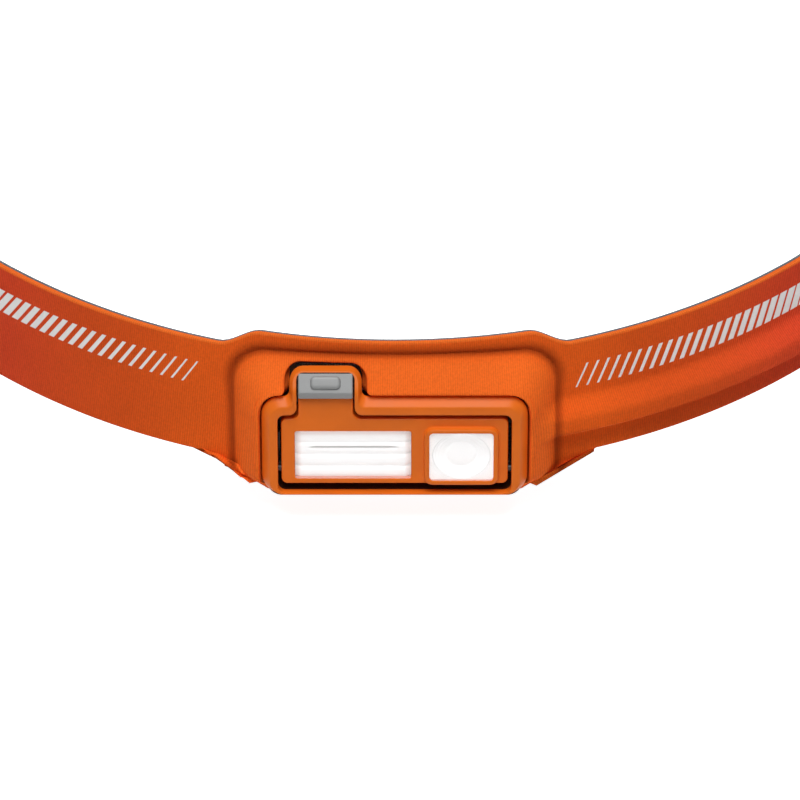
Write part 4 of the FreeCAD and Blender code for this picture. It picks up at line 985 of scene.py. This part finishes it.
@dataclass(frozen=True)
class Button:
    """Mode button with its raised oval.

    Attributes:
        middle, half: middle of its width and half of it.
        profile: corners of its side view as (y, z): front foot, nose, top and underside.
        oval_half, oval_rise: half the oval's width and half its length up the slope.
    """
    middle: float = -13.7
    half: float = 5.4
    profile: tuple[tuple[float, float], ...] = (
        (-0.2, 21.55), (-0.55, 22.9), (1.8, 26.26), (2.87, 25.51), (0.32, 21.55))
    oval_half: float = 2.95
    oval_rise: float = 1.28

    def build(self) -> bpy.types.Object:
        """Prism of the side profile along x, with rounded edges."""
        side = np.array(self.profile)
        n = len(side)
        ends = [np.column_stack([np.full(n, self.middle + e * self.half), side]) for e in (-1, 1)]
        skin = Skin.empty()
        faces = [list(range(n))[::-1], list(range(n, 2 * n))]
        faces += [[k, (k + 1) % n, n + (k + 1) % n, n + k] for k in range(n)]
        skin.add(LAMP.world(np.vstack(ends)), faces)
        body = soften(skin.mesh("button_body"), 0.42, 4, 20.0)
        return even(body, 60.0)

    def oval(self) -> bpy.types.Object:
        """Raised oval: loops of a rounded rectangle on the slope's own plane."""
        start, end = np.array(self.profile[1]), np.array(self.profile[2])
        along = (end - start) / np.linalg.norm(end - start)
        out = np.array([-along[1], along[0]])
        centre = start + along * 2.15
        loops = []
        for inset, lift in ((-0.12, -0.3), (0.0, 0.36), (0.05, 0.5), (0.18, 0.63), (0.42, 0.69),
                            (0.7, 0.7)):
            a, b = self.oval_half - inset, self.oval_rise - inset
            flat = walked([(-a, -b), (a, -b), (a, b), (-a, b)], [max(0.85 - inset, 0.1)] * 4)
            place = centre + flat[:, 1:] * along + out * lift
            loops.append(LAMP.world(np.column_stack([flat[:, 0] + self.middle, place])))
        skin = Skin.empty().loops(loops)
        skin.lid(flat, loops[-1])
        return even(skin.mesh("button_oval"), 40.0)


# ------------------------------------------------------------------ rear of the band

def refined(node: str, name: str, width: float) -> bpy.types.Object:
    """Copy of a node's mesh, merged into clean faces, with its edges rounded.

    Args:
        node: CAD node that is copied.
        name: name of the new piece.
        width: width of the rounding in millimetres.

    Returns:
        The new object.
    """
    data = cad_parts[node].data.copy()
    data.name = name
    work = bmesh.new()
    work.from_mesh(data)
    bmesh.ops.remove_doubles(work, verts=work.verts, dist=0.001 * MM)
    bmesh.ops.dissolve_limit(work, angle_limit=np.radians(2.0), verts=work.verts,
                             edges=work.edges)
    work.to_mesh(data)
    work.free()
    data.materials.clear()
    thing = bpy.data.objects.new(name, data)
    bpy.context.scene.collection.objects.link(thing)
    return even(soften(thing, width, 3, 30.0), 50.0)


@dataclass(frozen=True)
class RearPack:
    """Power pack at the back: its head pad.

    Attributes:
        half, low, high: the pad's half width and its two heights.
        back: depth of the pad's flat side, in WORLD y.
        thick: height of the pad's crown.
        centre: WORLD x of its middle.
        channel: distance of each sewn channel from the middle.
    """
    half: float = 31.0
    low: float = 1.0
    high: float = 39.0
    back: float = 74.28
    thick: float = 2.96
    centre: float = LOOP.centre
    channel: float = 10.3

    def pad(self) -> bpy.types.Object:
        """Crowned head pad, flat against the pack.

        At shares a across and b up its front lies at back − thick·(1 − |a|⁸ − |b|⁸)^½, a little
        less towards the top and bottom, and 1.1 deeper along two upright sewn channels. Its sides
        are drawn in at the middle and its corners are cut.
        """
        columns, rows = 81, 55
        a = np.linspace(-1.0, 1.0, columns)[None, :]
        b = np.linspace(-1.0, 1.0, rows)[:, None]
        waist = 1.0 - 0.018 * np.cos(np.pi * b / 2) * np.abs(a) ** 3
        x = self.centre + self.half * a * waist
        z = (self.low + self.high) / 2 + (self.high - self.low) / 2 * b * (
            1.0 - 0.022 * np.cos(np.pi * a / 2))
        corner = np.maximum((np.abs(a) - 0.9) / 0.1, 0) ** 2 + np.maximum(
            (np.abs(b) - 0.84) / 0.16, 0) ** 2
        shrink = np.where(corner > 1.0, 1.0 / np.sqrt(np.maximum(corner, 1.0)), 1.0)
        x = self.centre + (x - self.centre) * (0.9 + 0.1 * shrink)
        crown = np.clip(1.0 - np.abs(a) ** 8 - np.abs(b) ** 8, 0.0, 1.0) ** 0.5
        sewn = sum(np.exp(-((x - self.centre - c) / 1.1) ** 2) for c in (-self.channel, self.channel))
        y = self.back - self.thick * crown * (0.86 + 0.14 * np.cos(np.pi * b / 2))
        y = y + 1.1 * sewn * crown
        flat = np.full_like(y, self.back)
        skin = Skin.empty()
        skin.add(np.stack([x + 0 * b, y, z + 0 * a], axis=-1), quads(rows, columns))
        skin.add(np.stack([x + 0 * b, flat, z + 0 * a], axis=-1), quads(rows, columns)[:, ::-1])
        return skin.mesh("head_pad", weld=0.02)


@dataclass(frozen=True)
class Webbing:
    """Adjuster strap: an inner run from the pack, a turn round the ring's bar and a tail.

    Attributes:
        half: half the strap's height.
        thick: its thickness.
        turn: radius of the turn's middle line.
        bar: run of the turn's centre from the start of the straight stretch.
        tail: run where the tail ends.
        inner, outer: stand of the two runs' middle lines.
    """
    half: float = 10.0
    thick: float = 1.26
    turn: float = 1.75
    bar: float = 3.45
    tail: float = 36.0
    inner: float = -1.95
    outer: float = 1.55

    def build(self) -> bpy.types.Object:
        """Rounded section (v, n) carried along the path (t, w), n the path's normal.

        The path runs at w = inner, turns by t = bar − r·sin a, w = middle − r·cos a, with middle
        half way between the runs, and goes back at w = outer.
        """
        around, middle = 72, (self.inner + self.outer) / 2
        start = LOOP.strap_start()
        end = LOOP.ends()[1] - start
        a = np.linspace(0.0, np.pi, 22)[1:-1]
        there = np.append(np.arange(end, self.bar, -1.0), self.bar)
        back = np.append(np.arange(self.bar, self.tail, 1.0), self.tail)
        t = np.concatenate([there, self.bar - self.turn * np.sin(a), back])
        w = np.concatenate([np.full(len(there), self.inner), middle - self.turn * np.cos(a),
                            np.full(len(back), self.outer)])
        dt, dw = np.gradient(t), np.gradient(w)
        length = np.hypot(dt, dw)
        nt, nw = -dw / length, dt / length
        section = rectangle(-self.half, self.half, -self.thick / 2, self.thick / 2, 0.5, 5)
        section = resample(section, around)
        v, n = section[:, 0][None, :], section[:, 1][None, :]
        run = t[:, None] + nt[:, None] * n
        stand = w[:, None] + nw[:, None] * n
        points = LOOP.station(-(start + run)).point(v + 0 * run, stand)
        skin = Skin.empty()
        skin.add(points, quads(len(t), around, True), run=run, high=v + 0 * run)
        last = (len(t) - 1) * around
        skin.faces += [list(range(around)), [last + k for k in range(around)][::-1]]
        return skin.mesh("webbing_strap")


# ------------------------------------------------------------------ finishes

def linear(code: str) -> tuple[float, float, float, float]:
    """Linear colour of an sRGB hex code, by the sRGB curve."""
    c = np.array([int(code[k:k + 2], 16) / 255 for k in (0, 2, 4)])
    value = np.where(c <= 0.04045, c / 12.92, ((c + 0.055) / 1.055) ** 2.4)
    return (*[float(v) for v in value], 1.0)


def put(tree: bpy.types.NodeTree, kind: str, inputs: dict | None = None,
        **settings: object) -> bpy.types.Node:
    """Add a node with its settings, and set or link its inputs.

    Args:
        tree: the material's node tree.
        kind: node type without its ShaderNode prefix.
        inputs: socket name or number to a value, or to an output socket that is linked.
        settings: properties of the node.

    Returns:
        The node.
    """
    node = tree.nodes.new("ShaderNode" + kind)
    for key, value in settings.items():
        setattr(node, key, value)
    for key, value in (inputs or {}).items():
        if isinstance(value, bpy.types.NodeSocket):
            tree.links.new(value, node.inputs[key])
        else:
            node.inputs[key].default_value = value
    return node


def start(name: str) -> tuple[bpy.types.Material, bpy.types.NodeTree, bpy.types.Node]:
    """New material with only a Principled shader and its output."""
    material = bpy.data.materials.new(name)
    material.use_nodes = True
    tree = material.node_tree
    tree.nodes.clear()
    shader = put(tree, "BsdfPrincipled")
    put(tree, "OutputMaterial", {"Surface": shader.outputs[0]})
    return material, tree, shader


def curve(tree: bpy.types.NodeTree, value: bpy.types.NodeSocket, low: float, high: float,
          a: float = 0.0, b: float = 1.0) -> bpy.types.NodeSocket:
    """Smooth step of a value from low to high, onto a to b."""
    return put(tree, "MapRange", {0: value, 1: low, 2: high, 3: a, 4: b},
               interpolation_type="SMOOTHSTEP").outputs[0]


def calc(tree: bpy.types.NodeTree, what: str, a: object, b: object = 0.0,
         c: object = 0.0) -> bpy.types.NodeSocket:
    """Value of one Math node."""
    return put(tree, "Math", {0: a, 1: b, 2: c}, operation=what).outputs[0]


def times(tree: bpy.types.NodeTree, a: object, b: object) -> bpy.types.NodeSocket:
    """Product of two values."""
    return calc(tree, "MULTIPLY", a, b)


def noise(tree: bpy.types.NodeTree, size: float, detail: float,
          roughness: float = 0.5) -> bpy.types.NodeSocket:
    """Noise on Object coordinates, with spots of a size in millimetres."""
    place = put(tree, "TexCoord").outputs["Object"]
    return put(tree, "TexNoise", {"Vector": place, "Scale": 1.0 / (size * MM), "Detail": detail,
                                  "Roughness": roughness}).outputs[0]


def relief(tree: bpy.types.NodeTree, shader: bpy.types.Node, height: bpy.types.NodeSocket,
           depth: float, strength: float, **settings: object) -> None:
    """Bump of a depth in millimetres on a shader."""
    bump = put(tree, "Bump", {"Height": height, "Distance": depth * MM, "Strength": strength},
               **settings)
    tree.links.new(bump.outputs[0], shader.inputs["Normal"])


def blend(tree: bpy.types.NodeTree, share: object, a: object, b: object,
          how: str = "MIX") -> bpy.types.NodeSocket:
    """Mix of two colours."""
    return put(tree, "Mix", {0: share, 6: a, 7: b}, data_type="RGBA", blend_type=how).outputs[2]


@dataclass(frozen=True)
class Moulded:
    """Injection-moulded plastic or rubber: even colour, fine spark-eroded grain, soft gloss.

    Attributes:
        name: the real material.
        colour: sRGB hex.
        roughness: of the shader.
        grain: size of the grain in millimetres.
        depth: depth of the grain in millimetres.
        gloss: specular level.
        rubber: True for a soft matt skin with a little sheen.
    """
    name: str
    colour: str
    roughness: float = 0.42
    grain: float = 0.22
    depth: float = 0.012
    gloss: float = 0.5
    rubber: bool = False

    def make(self) -> bpy.types.Material:
        """Grain as noise on Object coordinates; colour drifts by 4 % over 9 mm."""
        material, tree, shader = start(self.name)
        grain, drift = noise(tree, self.grain, 2.0, 0.6), noise(tree, 9.0, 3.0)
        tone = curve(tree, drift, 0.3, 0.7, 0.96, 1.04)
        shade = put(tree, "CombineColor", {0: tone, 1: tone, 2: tone}).outputs[0]
        colour = blend(tree, 1.0, linear(self.colour), shade, "MULTIPLY")
        tree.links.new(colour, shader.inputs["Base Color"])
        tree.links.new(curve(tree, drift, 0.25, 0.75, self.roughness - 0.04,
                             self.roughness + 0.05), shader.inputs["Roughness"])
        shader.inputs["Specular IOR Level"].default_value = self.gloss
        relief(tree, shader, grain, self.depth, 0.5)
        if self.rubber:
            shader.inputs["Sheen Weight"].default_value = 0.25
        return material


@dataclass(frozen=True)
class Metal:
    """Bare metal: polished pin steel, etched screw heads or copper foil."""
    name: str
    colour: str
    roughness: float = 0.28

    def make(self) -> bpy.types.Material:
        """Fine drawn lines as stretched noise in the roughness and the bump."""
        material, tree, shader = start(self.name)
        place = put(tree, "TexCoord").outputs["Object"]
        long = put(tree, "Mapping", {"Vector": place, "Scale": (300.0, 6000.0, 6000.0)}).outputs[0]
        line = put(tree, "TexNoise", {"Vector": long, "Scale": 1.0, "Detail": 3.0}).outputs[0]
        tree.links.new(blend(tree, curve(tree, line, 0.3, 0.7), linear(self.colour),
                             linear("F2F2F0")), shader.inputs["Base Color"])
        shader.inputs["Metallic"].default_value = 1.0
        tree.links.new(curve(tree, line, 0.2, 0.8, self.roughness - 0.08, self.roughness + 0.1),
                       shader.inputs["Roughness"])
        relief(tree, shader, line, 0.004, 0.4)
        return material


@dataclass(frozen=True)
class Clear:
    """Polycarbonate window or tinted lens: glossy, lets most light straight through.

    Attributes:
        cover: how much of the plastic's own milk and gloss shows, 0 to 1.
    """
    name: str
    colour: str
    cover: float = 0.3
    roughness: float = 0.06

    def make(self) -> bpy.types.Material:
        """Principled with a coat, seen through by its alpha, with flow marks 3 mm long."""
        material, tree, shader = start(self.name)
        flow = noise(tree, 3.0, 2.0)
        shader.inputs["Base Color"].default_value = linear(self.colour)
        tree.links.new(curve(tree, flow, 0.3, 0.7, self.roughness, self.roughness + 0.05),
                       shader.inputs["Roughness"])
        shader.inputs["IOR"].default_value = 1.58
        shader.inputs["Coat Weight"].default_value = 0.6
        shader.inputs["Alpha"].default_value = self.cover
        return material


@dataclass(frozen=True)
class Tray:
    """Bright white moulded light tray, with painted shade in warm grey in its slit, at its ends and
    round the spot bowl's step, and a faint painted glow.
    """
    name: str = "white polycarbonate light tray"
    colour: str = "FFFFFF"
    shadow: str = "6E6260"

    def make(self) -> bpy.types.Material:
        """White, mixed to warm grey by the dark attribute of the mesh, which is painted shade."""
        material, tree, shader = start(self.name)
        dark = put(tree, "Attribute", attribute_name="dark").outputs["Fac"]
        colour = blend(tree, calc(tree, "MINIMUM", dark, 1.0), linear(self.colour),
                       linear(self.shadow))
        tree.links.new(colour, shader.inputs["Base Color"])
        shader.inputs["Roughness"].default_value = 0.18
        # Painted glow: the tray is no lamp, yet it emits a little of its own colour.
        tree.links.new(colour, shader.inputs["Emission Color"])
        shader.inputs["Emission Strength"].default_value = 0.26
        return material


@dataclass(frozen=True)
class RibbedFabric:
    """Polyester rib weave: dyed from orange at the lamp to red at the sides, matt, with a silver
    reflective print of slanted bars that grow and join towards the sides.

    Attributes:
        rib: spacing of the upright ribs in millimetres.
        pitch: spacing of the printed bars.
        slant: rise over run of the bars.
        first: place of the first bar on the right.
        near, middle, far: dye at the lamp, beside it and at the sides.
        lit, deep, edge: painted highlight on the up-facing slope, painted shade in the fold where the
            slope meets the strip, and painted highlight along the rolled top edge.
        silver: the reflective print.
    """
    name: str = "ribbed polyester band"
    rib: float = 0.46
    pitch: float = 2.3
    slant: float = 1.75
    first: float = 35.9
    near: str = "E85F1B"
    middle: str = "DA541C"
    far: str = "D8432A"
    # lit, deep and edge are painted light: a highlight on the slope, shade in the fold and a
    # highlight on the top edge.
    lit: str = "F86E24"
    deep: str = "6A2004"
    edge: str = "F4722A"
    silver: str = "F4F2F0"

    def make(self) -> bpy.types.Material:
        """Ribs sin(2πs/rib), a weft sin(2πv/0.3), dye by |s|, bars by frac((s − v/slant)/pitch)."""
        material, tree, shader = start(self.name)
        run, high, margin, slope = (put(tree, "Attribute", attribute_name=key).outputs["Fac"]
                                    for key in ("run", "high", "margin", "slope"))
        away = calc(tree, "ABSOLUTE", run)
        rib = calc(tree, "SINE", times(tree, run, 2 * np.pi / self.rib))
        weft = calc(tree, "SINE", times(tree, high, 2 * np.pi / 0.3))
        fluff, cloud = noise(tree, 0.5, 4.0), noise(tree, 14.0, 2.0)
        dye = blend(tree, curve(tree, away, 36.0, 58.0), linear(self.near), linear(self.middle))
        dye = blend(tree, curve(tree, away, 52.0, 100.0), dye, linear(self.far))
        # Painted highlight: the slope that faces up is mixed towards the lighter lit tone.
        slope_highlight = times(tree, curve(tree, slope, -0.6, 0.1), curve(tree, slope, 1.08, 0.7))
        dye = blend(tree, times(tree, slope_highlight, 0.9), dye, linear(self.lit))
        # Painted shade: the crease where the slope meets the strip is darkened towards deep.
        fold = times(tree, curve(tree, slope, 0.88, 1.02), curve(tree, slope, 1.42, 1.06))
        dye = blend(tree, times(tree, fold, 0.6), dye, linear(self.deep))
        # Painted highlight: a lighter line along the rolled top edge, mixed towards edge.
        rolled_edge_highlight = times(tree, curve(tree, margin, 0.55, 0.2), 0.85)
        dye = blend(tree, rolled_edge_highlight, dye, linear(self.edge))
        tone = calc(tree, "MULTIPLY_ADD", rib, 0.075, curve(tree, fluff, 0.25, 0.75, 0.93, 1.07))
        tone = times(tree, tone, curve(tree, cloud, 0.3, 0.7, 0.97, 1.03))
        shade = put(tree, "CombineColor", {0: tone, 1: tone, 2: tone}).outputs[0]
        dye = blend(tree, 1.0, dye, shade, "MULTIPLY")
        lean = calc(tree, "SUBTRACT", run, calc(tree, "DIVIDE", high, self.slant))
        ahead = calc(tree, "SUBTRACT", lean, self.first - self.pitch / 2)
        phase = calc(tree, "FRACT", calc(tree, "DIVIDE", ahead, self.pitch))
        right = calc(tree, "GREATER_THAN", run, 0.0)
        reach = calc(tree, "ADD", away, times(tree, right, 5.0))
        width = put(tree, "MapRange", {0: reach, 1: 42.0, 2: 98.0, 3: 0.16, 4: 0.86},
                    interpolation_type="LINEAR").outputs[0]
        solid = times(tree, curve(tree, reach, 98.0, 110.0), 0.3)
        width = calc(tree, "ADD", width, solid)
        off = calc(tree, "ABSOLUTE", calc(tree, "SUBTRACT", phase, 0.5))
        bar = curve(tree, calc(tree, "SUBTRACT", times(tree, width, 0.5), off), -0.03, 0.03)
        zone = times(tree, curve(tree, margin, 4.9, 5.1), curve(tree, margin, 10.0, 9.8))
        begin = curve(tree, lean, 34.7, 34.9)
        left = curve(tree, lean, -43.5, -43.7)
        print_on = times(tree, times(tree, bar, zone), calc(tree, "ADD", begin, left))
        colour = blend(tree, print_on, dye, linear(self.silver))
        tree.links.new(colour, shader.inputs["Base Color"])
        tree.links.new(put(tree, "MapRange", {0: print_on, 1: 0.0, 2: 1.0, 3: 0.82, 4: 0.42})
                       .outputs[0], shader.inputs["Roughness"])
        shader.inputs["Specular IOR Level"].default_value = 0.08
        shader.inputs["Sheen Weight"].default_value = 0.04
        shader.inputs["Sheen Roughness"].default_value = 0.4
        shader.inputs["Sheen Tint"].default_value = linear("FF9A60")
        height = calc(tree, "MULTIPLY_ADD", rib, 0.5, times(tree, weft, 0.12))
        relief(tree, shader, calc(tree, "MULTIPLY_ADD", fluff, 0.35, height), 0.035, 0.7)
        return material


@dataclass(frozen=True)
class Knit:
    """Knitted or woven cloth without a print: small loops in two directions, matt with a sheen.

    Attributes:
        pitch: spacing of the loops in millimetres.
        depth: height of the loops in millimetres.
    """
    name: str
    colour: str
    dark: str
    pitch: float = 0.6
    depth: float = 0.06

    def make(self) -> bpy.types.Material:
        """Rounded cells of a Voronoi pattern at the loops' pitch, stretched upright, and fluff."""
        material, tree, shader = start(self.name)
        place = put(tree, "TexCoord").outputs["Object"]
        tall = put(tree, "Mapping", {"Vector": place, "Scale": (1.0, 1.0, 0.6)}).outputs[0]
        cell = put(tree, "TexVoronoi", {"Vector": tall, "Scale": 1.0 / (self.pitch * MM),
                                        "Randomness": 0.35}).outputs["Distance"]
        shade = calc(tree, "MULTIPLY_ADD", noise(tree, 0.3, 3.0), 0.35,
                     curve(tree, cell, 0.15, 0.7))
        tree.links.new(blend(tree, calc(tree, "MINIMUM", shade, 1.0), linear(self.colour),
                             linear(self.dark)), shader.inputs["Base Color"])
        shader.inputs["Roughness"].default_value = 0.88
        shader.inputs["Specular IOR Level"].default_value = 0.2
        shader.inputs["Sheen Weight"].default_value = 0.2
        relief(tree, shader, cell, self.depth, 0.8, invert=True)
        return material


class Finish(Enum):
    """The object's finishes."""
    RIBBED = RibbedFabric()
    LINER = Knit("brushed nylon jersey", "8A9096", "666B70", 0.55)
    MESH = Knit("spacer mesh cover", "5A6066", "2E3236", 1.6, 0.25)
    FOAM = Knit("closed cell foam", "54585C", "44484C", 0.4, 0.03)
    WEBBING = Knit("nylon webbing", "3E4247", "24272A", 0.9, 0.16)
    ORANGE = Moulded("orange polycarbonate blend", "E8701A", 0.4, 0.2, 0.006, 0.2)
    GREY = Moulded("grey acetal", "8A8B8B", 0.36, 0.2, 0.006, 0.5)
    DARK = Moulded("dark grey polycarbonate blend", "33373B", 0.46, 0.3, 0.02, 0.45)
    # Painted shade: the housing's inner parts are given the dark brown of the shaded gaps round the
    # panel.
    SHADE = Moulded("inner shell in painted shade", "3A1A06", 0.6, 0.3, 0.01, 0.3)
    RUBBER = Moulded("silicone rubber", "2B2D30", 0.62, 0.35, 0.01, 0.3, True)
    WRAP = Moulded("cell shrink wrap", "3A6FA8", 0.25, 1.2, 0.01)
    BOARD = Moulded("solder-masked circuit board", "1E5A3C", 0.3, 0.5, 0.01)
    LED = Moulded("phosphor cap", "F4E08A", 0.35, 0.3, 0.01)
    RED_LED = Moulded("red diode", "B0281E", 0.3, 0.3, 0.01)
    STEEL = Metal("stainless steel", "B9BCC0", 0.26)
    # Painted shade: the steel pins, screws and leaf in the gaps are made dark instead of bright
    # steel.
    STEEL_IN_SHADE = Moulded("steel painted dark as shade", "2E2622", 0.35, 0.2, 0.004)
    COPPER = Metal("copper film", "C98A56", 0.3)
    CLEAR = Clear("clear polycarbonate", "FFFFFF", 0.22)
    RED = Clear("red polycarbonate lens", "C81E14", 0.82, 0.12)
    PIPE = Clear("frosted light pipe", "F4F4F2", 0.75, 0.3)
    TRAY = Tray()


MADE: dict[Finish, bpy.types.Material] = {}


def dress(thing: bpy.types.Object, finish: Finish) -> bpy.types.Object:
    """Give an object one finish in its material slots."""
    if finish not in MADE:
        MADE[finish] = finish.value.make()
    if not thing.material_slots:
        thing.data.materials.append(MADE[finish])
    for place in thing.material_slots:
        place.material = MADE[finish]
    return thing


NODE_FINISHES: dict[Finish, tuple[str, ...]] = {
    Finish.SHADE: ("housing_tub", "panel_back", "tact_switch"),
    Finish.DARK: ("pack_base", "pack_cover"),
    Finish.GREY: ("band_ring", "strap_slider", "mode_button"),
    Finish.ORANGE: ("bezel_frame", "panel_shell"),
    Finish.RUBBER: ("lead_grommet", "power_lead", "pack_gasket", "pack_grommet", "port_cover"),
    Finish.STEEL: ("usb_socket", "pack_screws", "port_pin"),
    Finish.STEEL_IN_SHADE: ("hinge_pin_left", "hinge_pin_right", "bezel_screws", "detent_leaf"),
    Finish.COPPER: ("flex_cable",),
    Finish.WRAP: ("battery_cell",),
    Finish.FOAM: ("cell_pad", "pack_pad", "pod_foam", "pod_lining"),
    Finish.BOARD: ("led_board", "charge_board"),
    Finish.LED: ("flood_leds", "spot_led"),
    Finish.RED_LED: ("red_leds", "rear_light_leds"),
    Finish.CLEAR: ("flood_lens", "spot_lens"),
    Finish.PIPE: ("charge_light_pipe",),
    Finish.RED: ("rear_light_lens",),
    Finish.TRAY: ("flood_reflector",),
    Finish.WEBBING: ("adjuster_strap",),
    Finish.RIBBED: ("band_left", "band_right", "pod_cover", "lead_channel"),
    Finish.LINER: ("liner_left", "liner_right"),
}


# ------------------------------------------------------------------ studio

def seen(tree: bpy.types.NodeTree) -> bpy.types.NodeSocket:
    """1 to the camera, in gloss and through glass, 0 to soft light."""
    path = put(tree, "LightPath").outputs
    return calc(tree, "MAXIMUM", path["Is Camera Ray"],
                calc(tree, "MAXIMUM", path["Is Glossy Ray"], path["Is Transmission Ray"]))


@dataclass(frozen=True)
class Studio:
    """Camera, soft lamps, floor and white surroundings.

    Attributes:
        elevation: camera height in degrees above level.
        distance: from the camera to what it looks at, in millimetres.
        field: width of the view there, in millimetres.
        target: what it looks at, in WORLD millimetres.
    """
    elevation: float = 46.0
    distance: float = 900.0
    field: float = 160.0
    target: tuple[float, float, float] = (-0.77, -83.48, 23.01)

    def camera(self) -> None:
        """Camera in front and above, looking back and down with no turn to the side."""
        data = bpy.data.cameras.new("view")
        data.sensor_width = 36.0
        data.lens = 36.0 * self.distance / self.field
        data.clip_end = 20.0
        thing = bpy.data.objects.new("view", data)
        a = np.radians(self.elevation)
        away = np.array([0.0, -np.cos(a), np.sin(a)]) * self.distance
        thing.location = Vector((np.array(self.target) + away) * MM)
        thing.rotation_euler = (np.pi / 2 - a, 0.0, 0.0)
        bpy.context.scene.collection.objects.link(thing)
        bpy.context.scene.camera = thing

    @staticmethod
    def lamp(name: str, azimuth: float, elevation: float, size: float, power: float) -> None:
        """Square area lamp, aimed at the object.

        Args:
            name: object name.
            azimuth: degrees from the front, to the viewer's right.
            elevation: degrees above level.
            size: side of the square in metres.
            power: watts.
        """
        distance = 1.6
        data = bpy.data.lights.new(name, "AREA")
        data.size = size
        data.energy = power
        a, e = np.radians(azimuth), np.radians(elevation)
        way = Vector((np.sin(a) * np.cos(e), -np.cos(a) * np.cos(e), np.sin(e)))
        thing = bpy.data.objects.new(name, data)
        thing.location = way * distance
        thing.rotation_euler = way.to_track_quat("Z", "Y").to_euler()
        bpy.context.scene.collection.objects.link(thing)

    @staticmethod
    def surroundings() -> None:
        """White to the camera, in gloss and through glass; a dimmer white for soft light."""
        world = bpy.data.worlds.new("surroundings")
        world.use_nodes = True
        tree = world.node_tree
        tree.nodes.clear()
        strength = put(tree, "MapRange", {0: seen(tree), 3: 0.11, 4: 1.0}).outputs[0]
        back = put(tree, "Background", {"Color": (1.0, 1.0, 1.0, 1.0), "Strength": strength})
        put(tree, "OutputWorld", {"Surface": back.outputs[0]})
        bpy.context.scene.world = world

    @staticmethod
    def floor() -> None:
        """Pale table top under the object, white where it is seen lit and grey in the shadow."""
        low = CAD_BOX[0][2] / MM
        skin = Skin.empty()
        side = np.linspace(-3000, 3000, 3)
        x, y = np.meshgrid(side, side)
        skin.add(np.stack([x, y, np.full_like(x, low - 0.02)], axis=-1), quads(3, 3))
        thing = skin.mesh("table_top")
        material = bpy.data.materials.new("white paper sweep")
        material.use_nodes = True
        tree = material.node_tree
        tree.nodes.clear()
        paper = put(tree, "BsdfDiffuse", {"Color": linear("F4F4F4")})
        glow = put(tree, "Emission", {"Color": (1.0, 1.0, 1.0, 1.0),
                                      "Strength": times(tree, seen(tree), 0.88)})
        both = put(tree, "AddShader", {0: paper.outputs[0], 1: glow.outputs[0]})
        put(tree, "OutputMaterial", {"Surface": both.outputs[0]})
        thing.data.materials.append(material)

    def build(self) -> None:
        """Set everything up and keep colours as written."""
        self.camera()
        self.lamp("key", -12.0, 82.0, 1.0, 23.0)
        self.lamp("front", -14.0, 24.0, 1.0, 0.4)
        self.lamp("rear", 170.0, 40.0, 1.2, 2.0)
        self.surroundings()
        self.floor()
        bpy.context.scene.view_settings.view_transform = "Standard"


# ------------------------------------------------------------------ assembly

def assemble() -> None:
    """Build every piece, put it on its body and dress it, then dress the plain nodes."""
    outline = LampOutline()
    band, bezel, panel = Headband(outline), Bezel(outline), Panel()
    optics, button = Optics(panel), Button()
    pack, strap = RearPack(), Webbing()
    root, lamp = "root", "lamp_panel"
    pieces = [
        (band.fabric(), root, "ribbed_fabric", Finish.RIBBED,
         ("band_left", "band_right", "pod_cover", "lead_channel")),
        (band.liner(), root, "liner_fabric", Finish.LINER, ("liner_left", "liner_right")),
        (band.padding(), root, "foam", Finish.MESH, ("pod_foam", "pod_lining")),
        (bezel.build(), root, "orange_plastic", Finish.ORANGE, ("bezel_frame",)),
        (panel.build(), lamp, "orange_plastic", Finish.ORANGE, ("panel_shell",)),
        (optics.cover(panel.flood, panel.face - 0.02, 0.5, "flood_cover"), lamp, "clear_plastic",
         Finish.CLEAR, ("flood_lens",)),
        (optics.cover(panel.spot, panel.face - panel.proud + 0.1, 0.8, "spot_cover"), lamp,
         "clear_plastic", Finish.CLEAR, ("spot_lens",)),
        (optics.flood_tray(), lamp, "reflector", Finish.TRAY, ("flood_reflector",)),
        (optics.spot_tray(), lamp, "reflector", Finish.TRAY, ()),
        (button.build(), "button", "grey_plastic", Finish.GREY, ("mode_button",)),
        (button.oval(), "button", "grey_plastic", Finish.GREY, ()),
        (pack.pad(), root, "foam", Finish.MESH, ("pack_pad",)),
        (strap.build(), root, "webbing", Finish.WEBBING, ("adjuster_strap",)),
        (refined("band_ring", "ring", 0.5), root, "grey_plastic", Finish.GREY, ("band_ring",)),
        (refined("strap_slider", "slide", 0.6), "slider", "grey_plastic", Finish.GREY,
         ("strap_slider",)),
        (refined("port_cover", "flap", 0.5), "port_flap", "rubber", Finish.RUBBER,
         ("port_cover",)),
    ]
    for thing, body, place, finish, nodes in pieces:
        dress(settle(thing, body, place, *nodes), finish)
    for finish, names in NODE_FINISHES.items():
        for name in names:
            dress(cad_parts[name], finish)


def main() -> None:
    assemble()
    Studio().build()


if __name__ == "__main__":
    main()
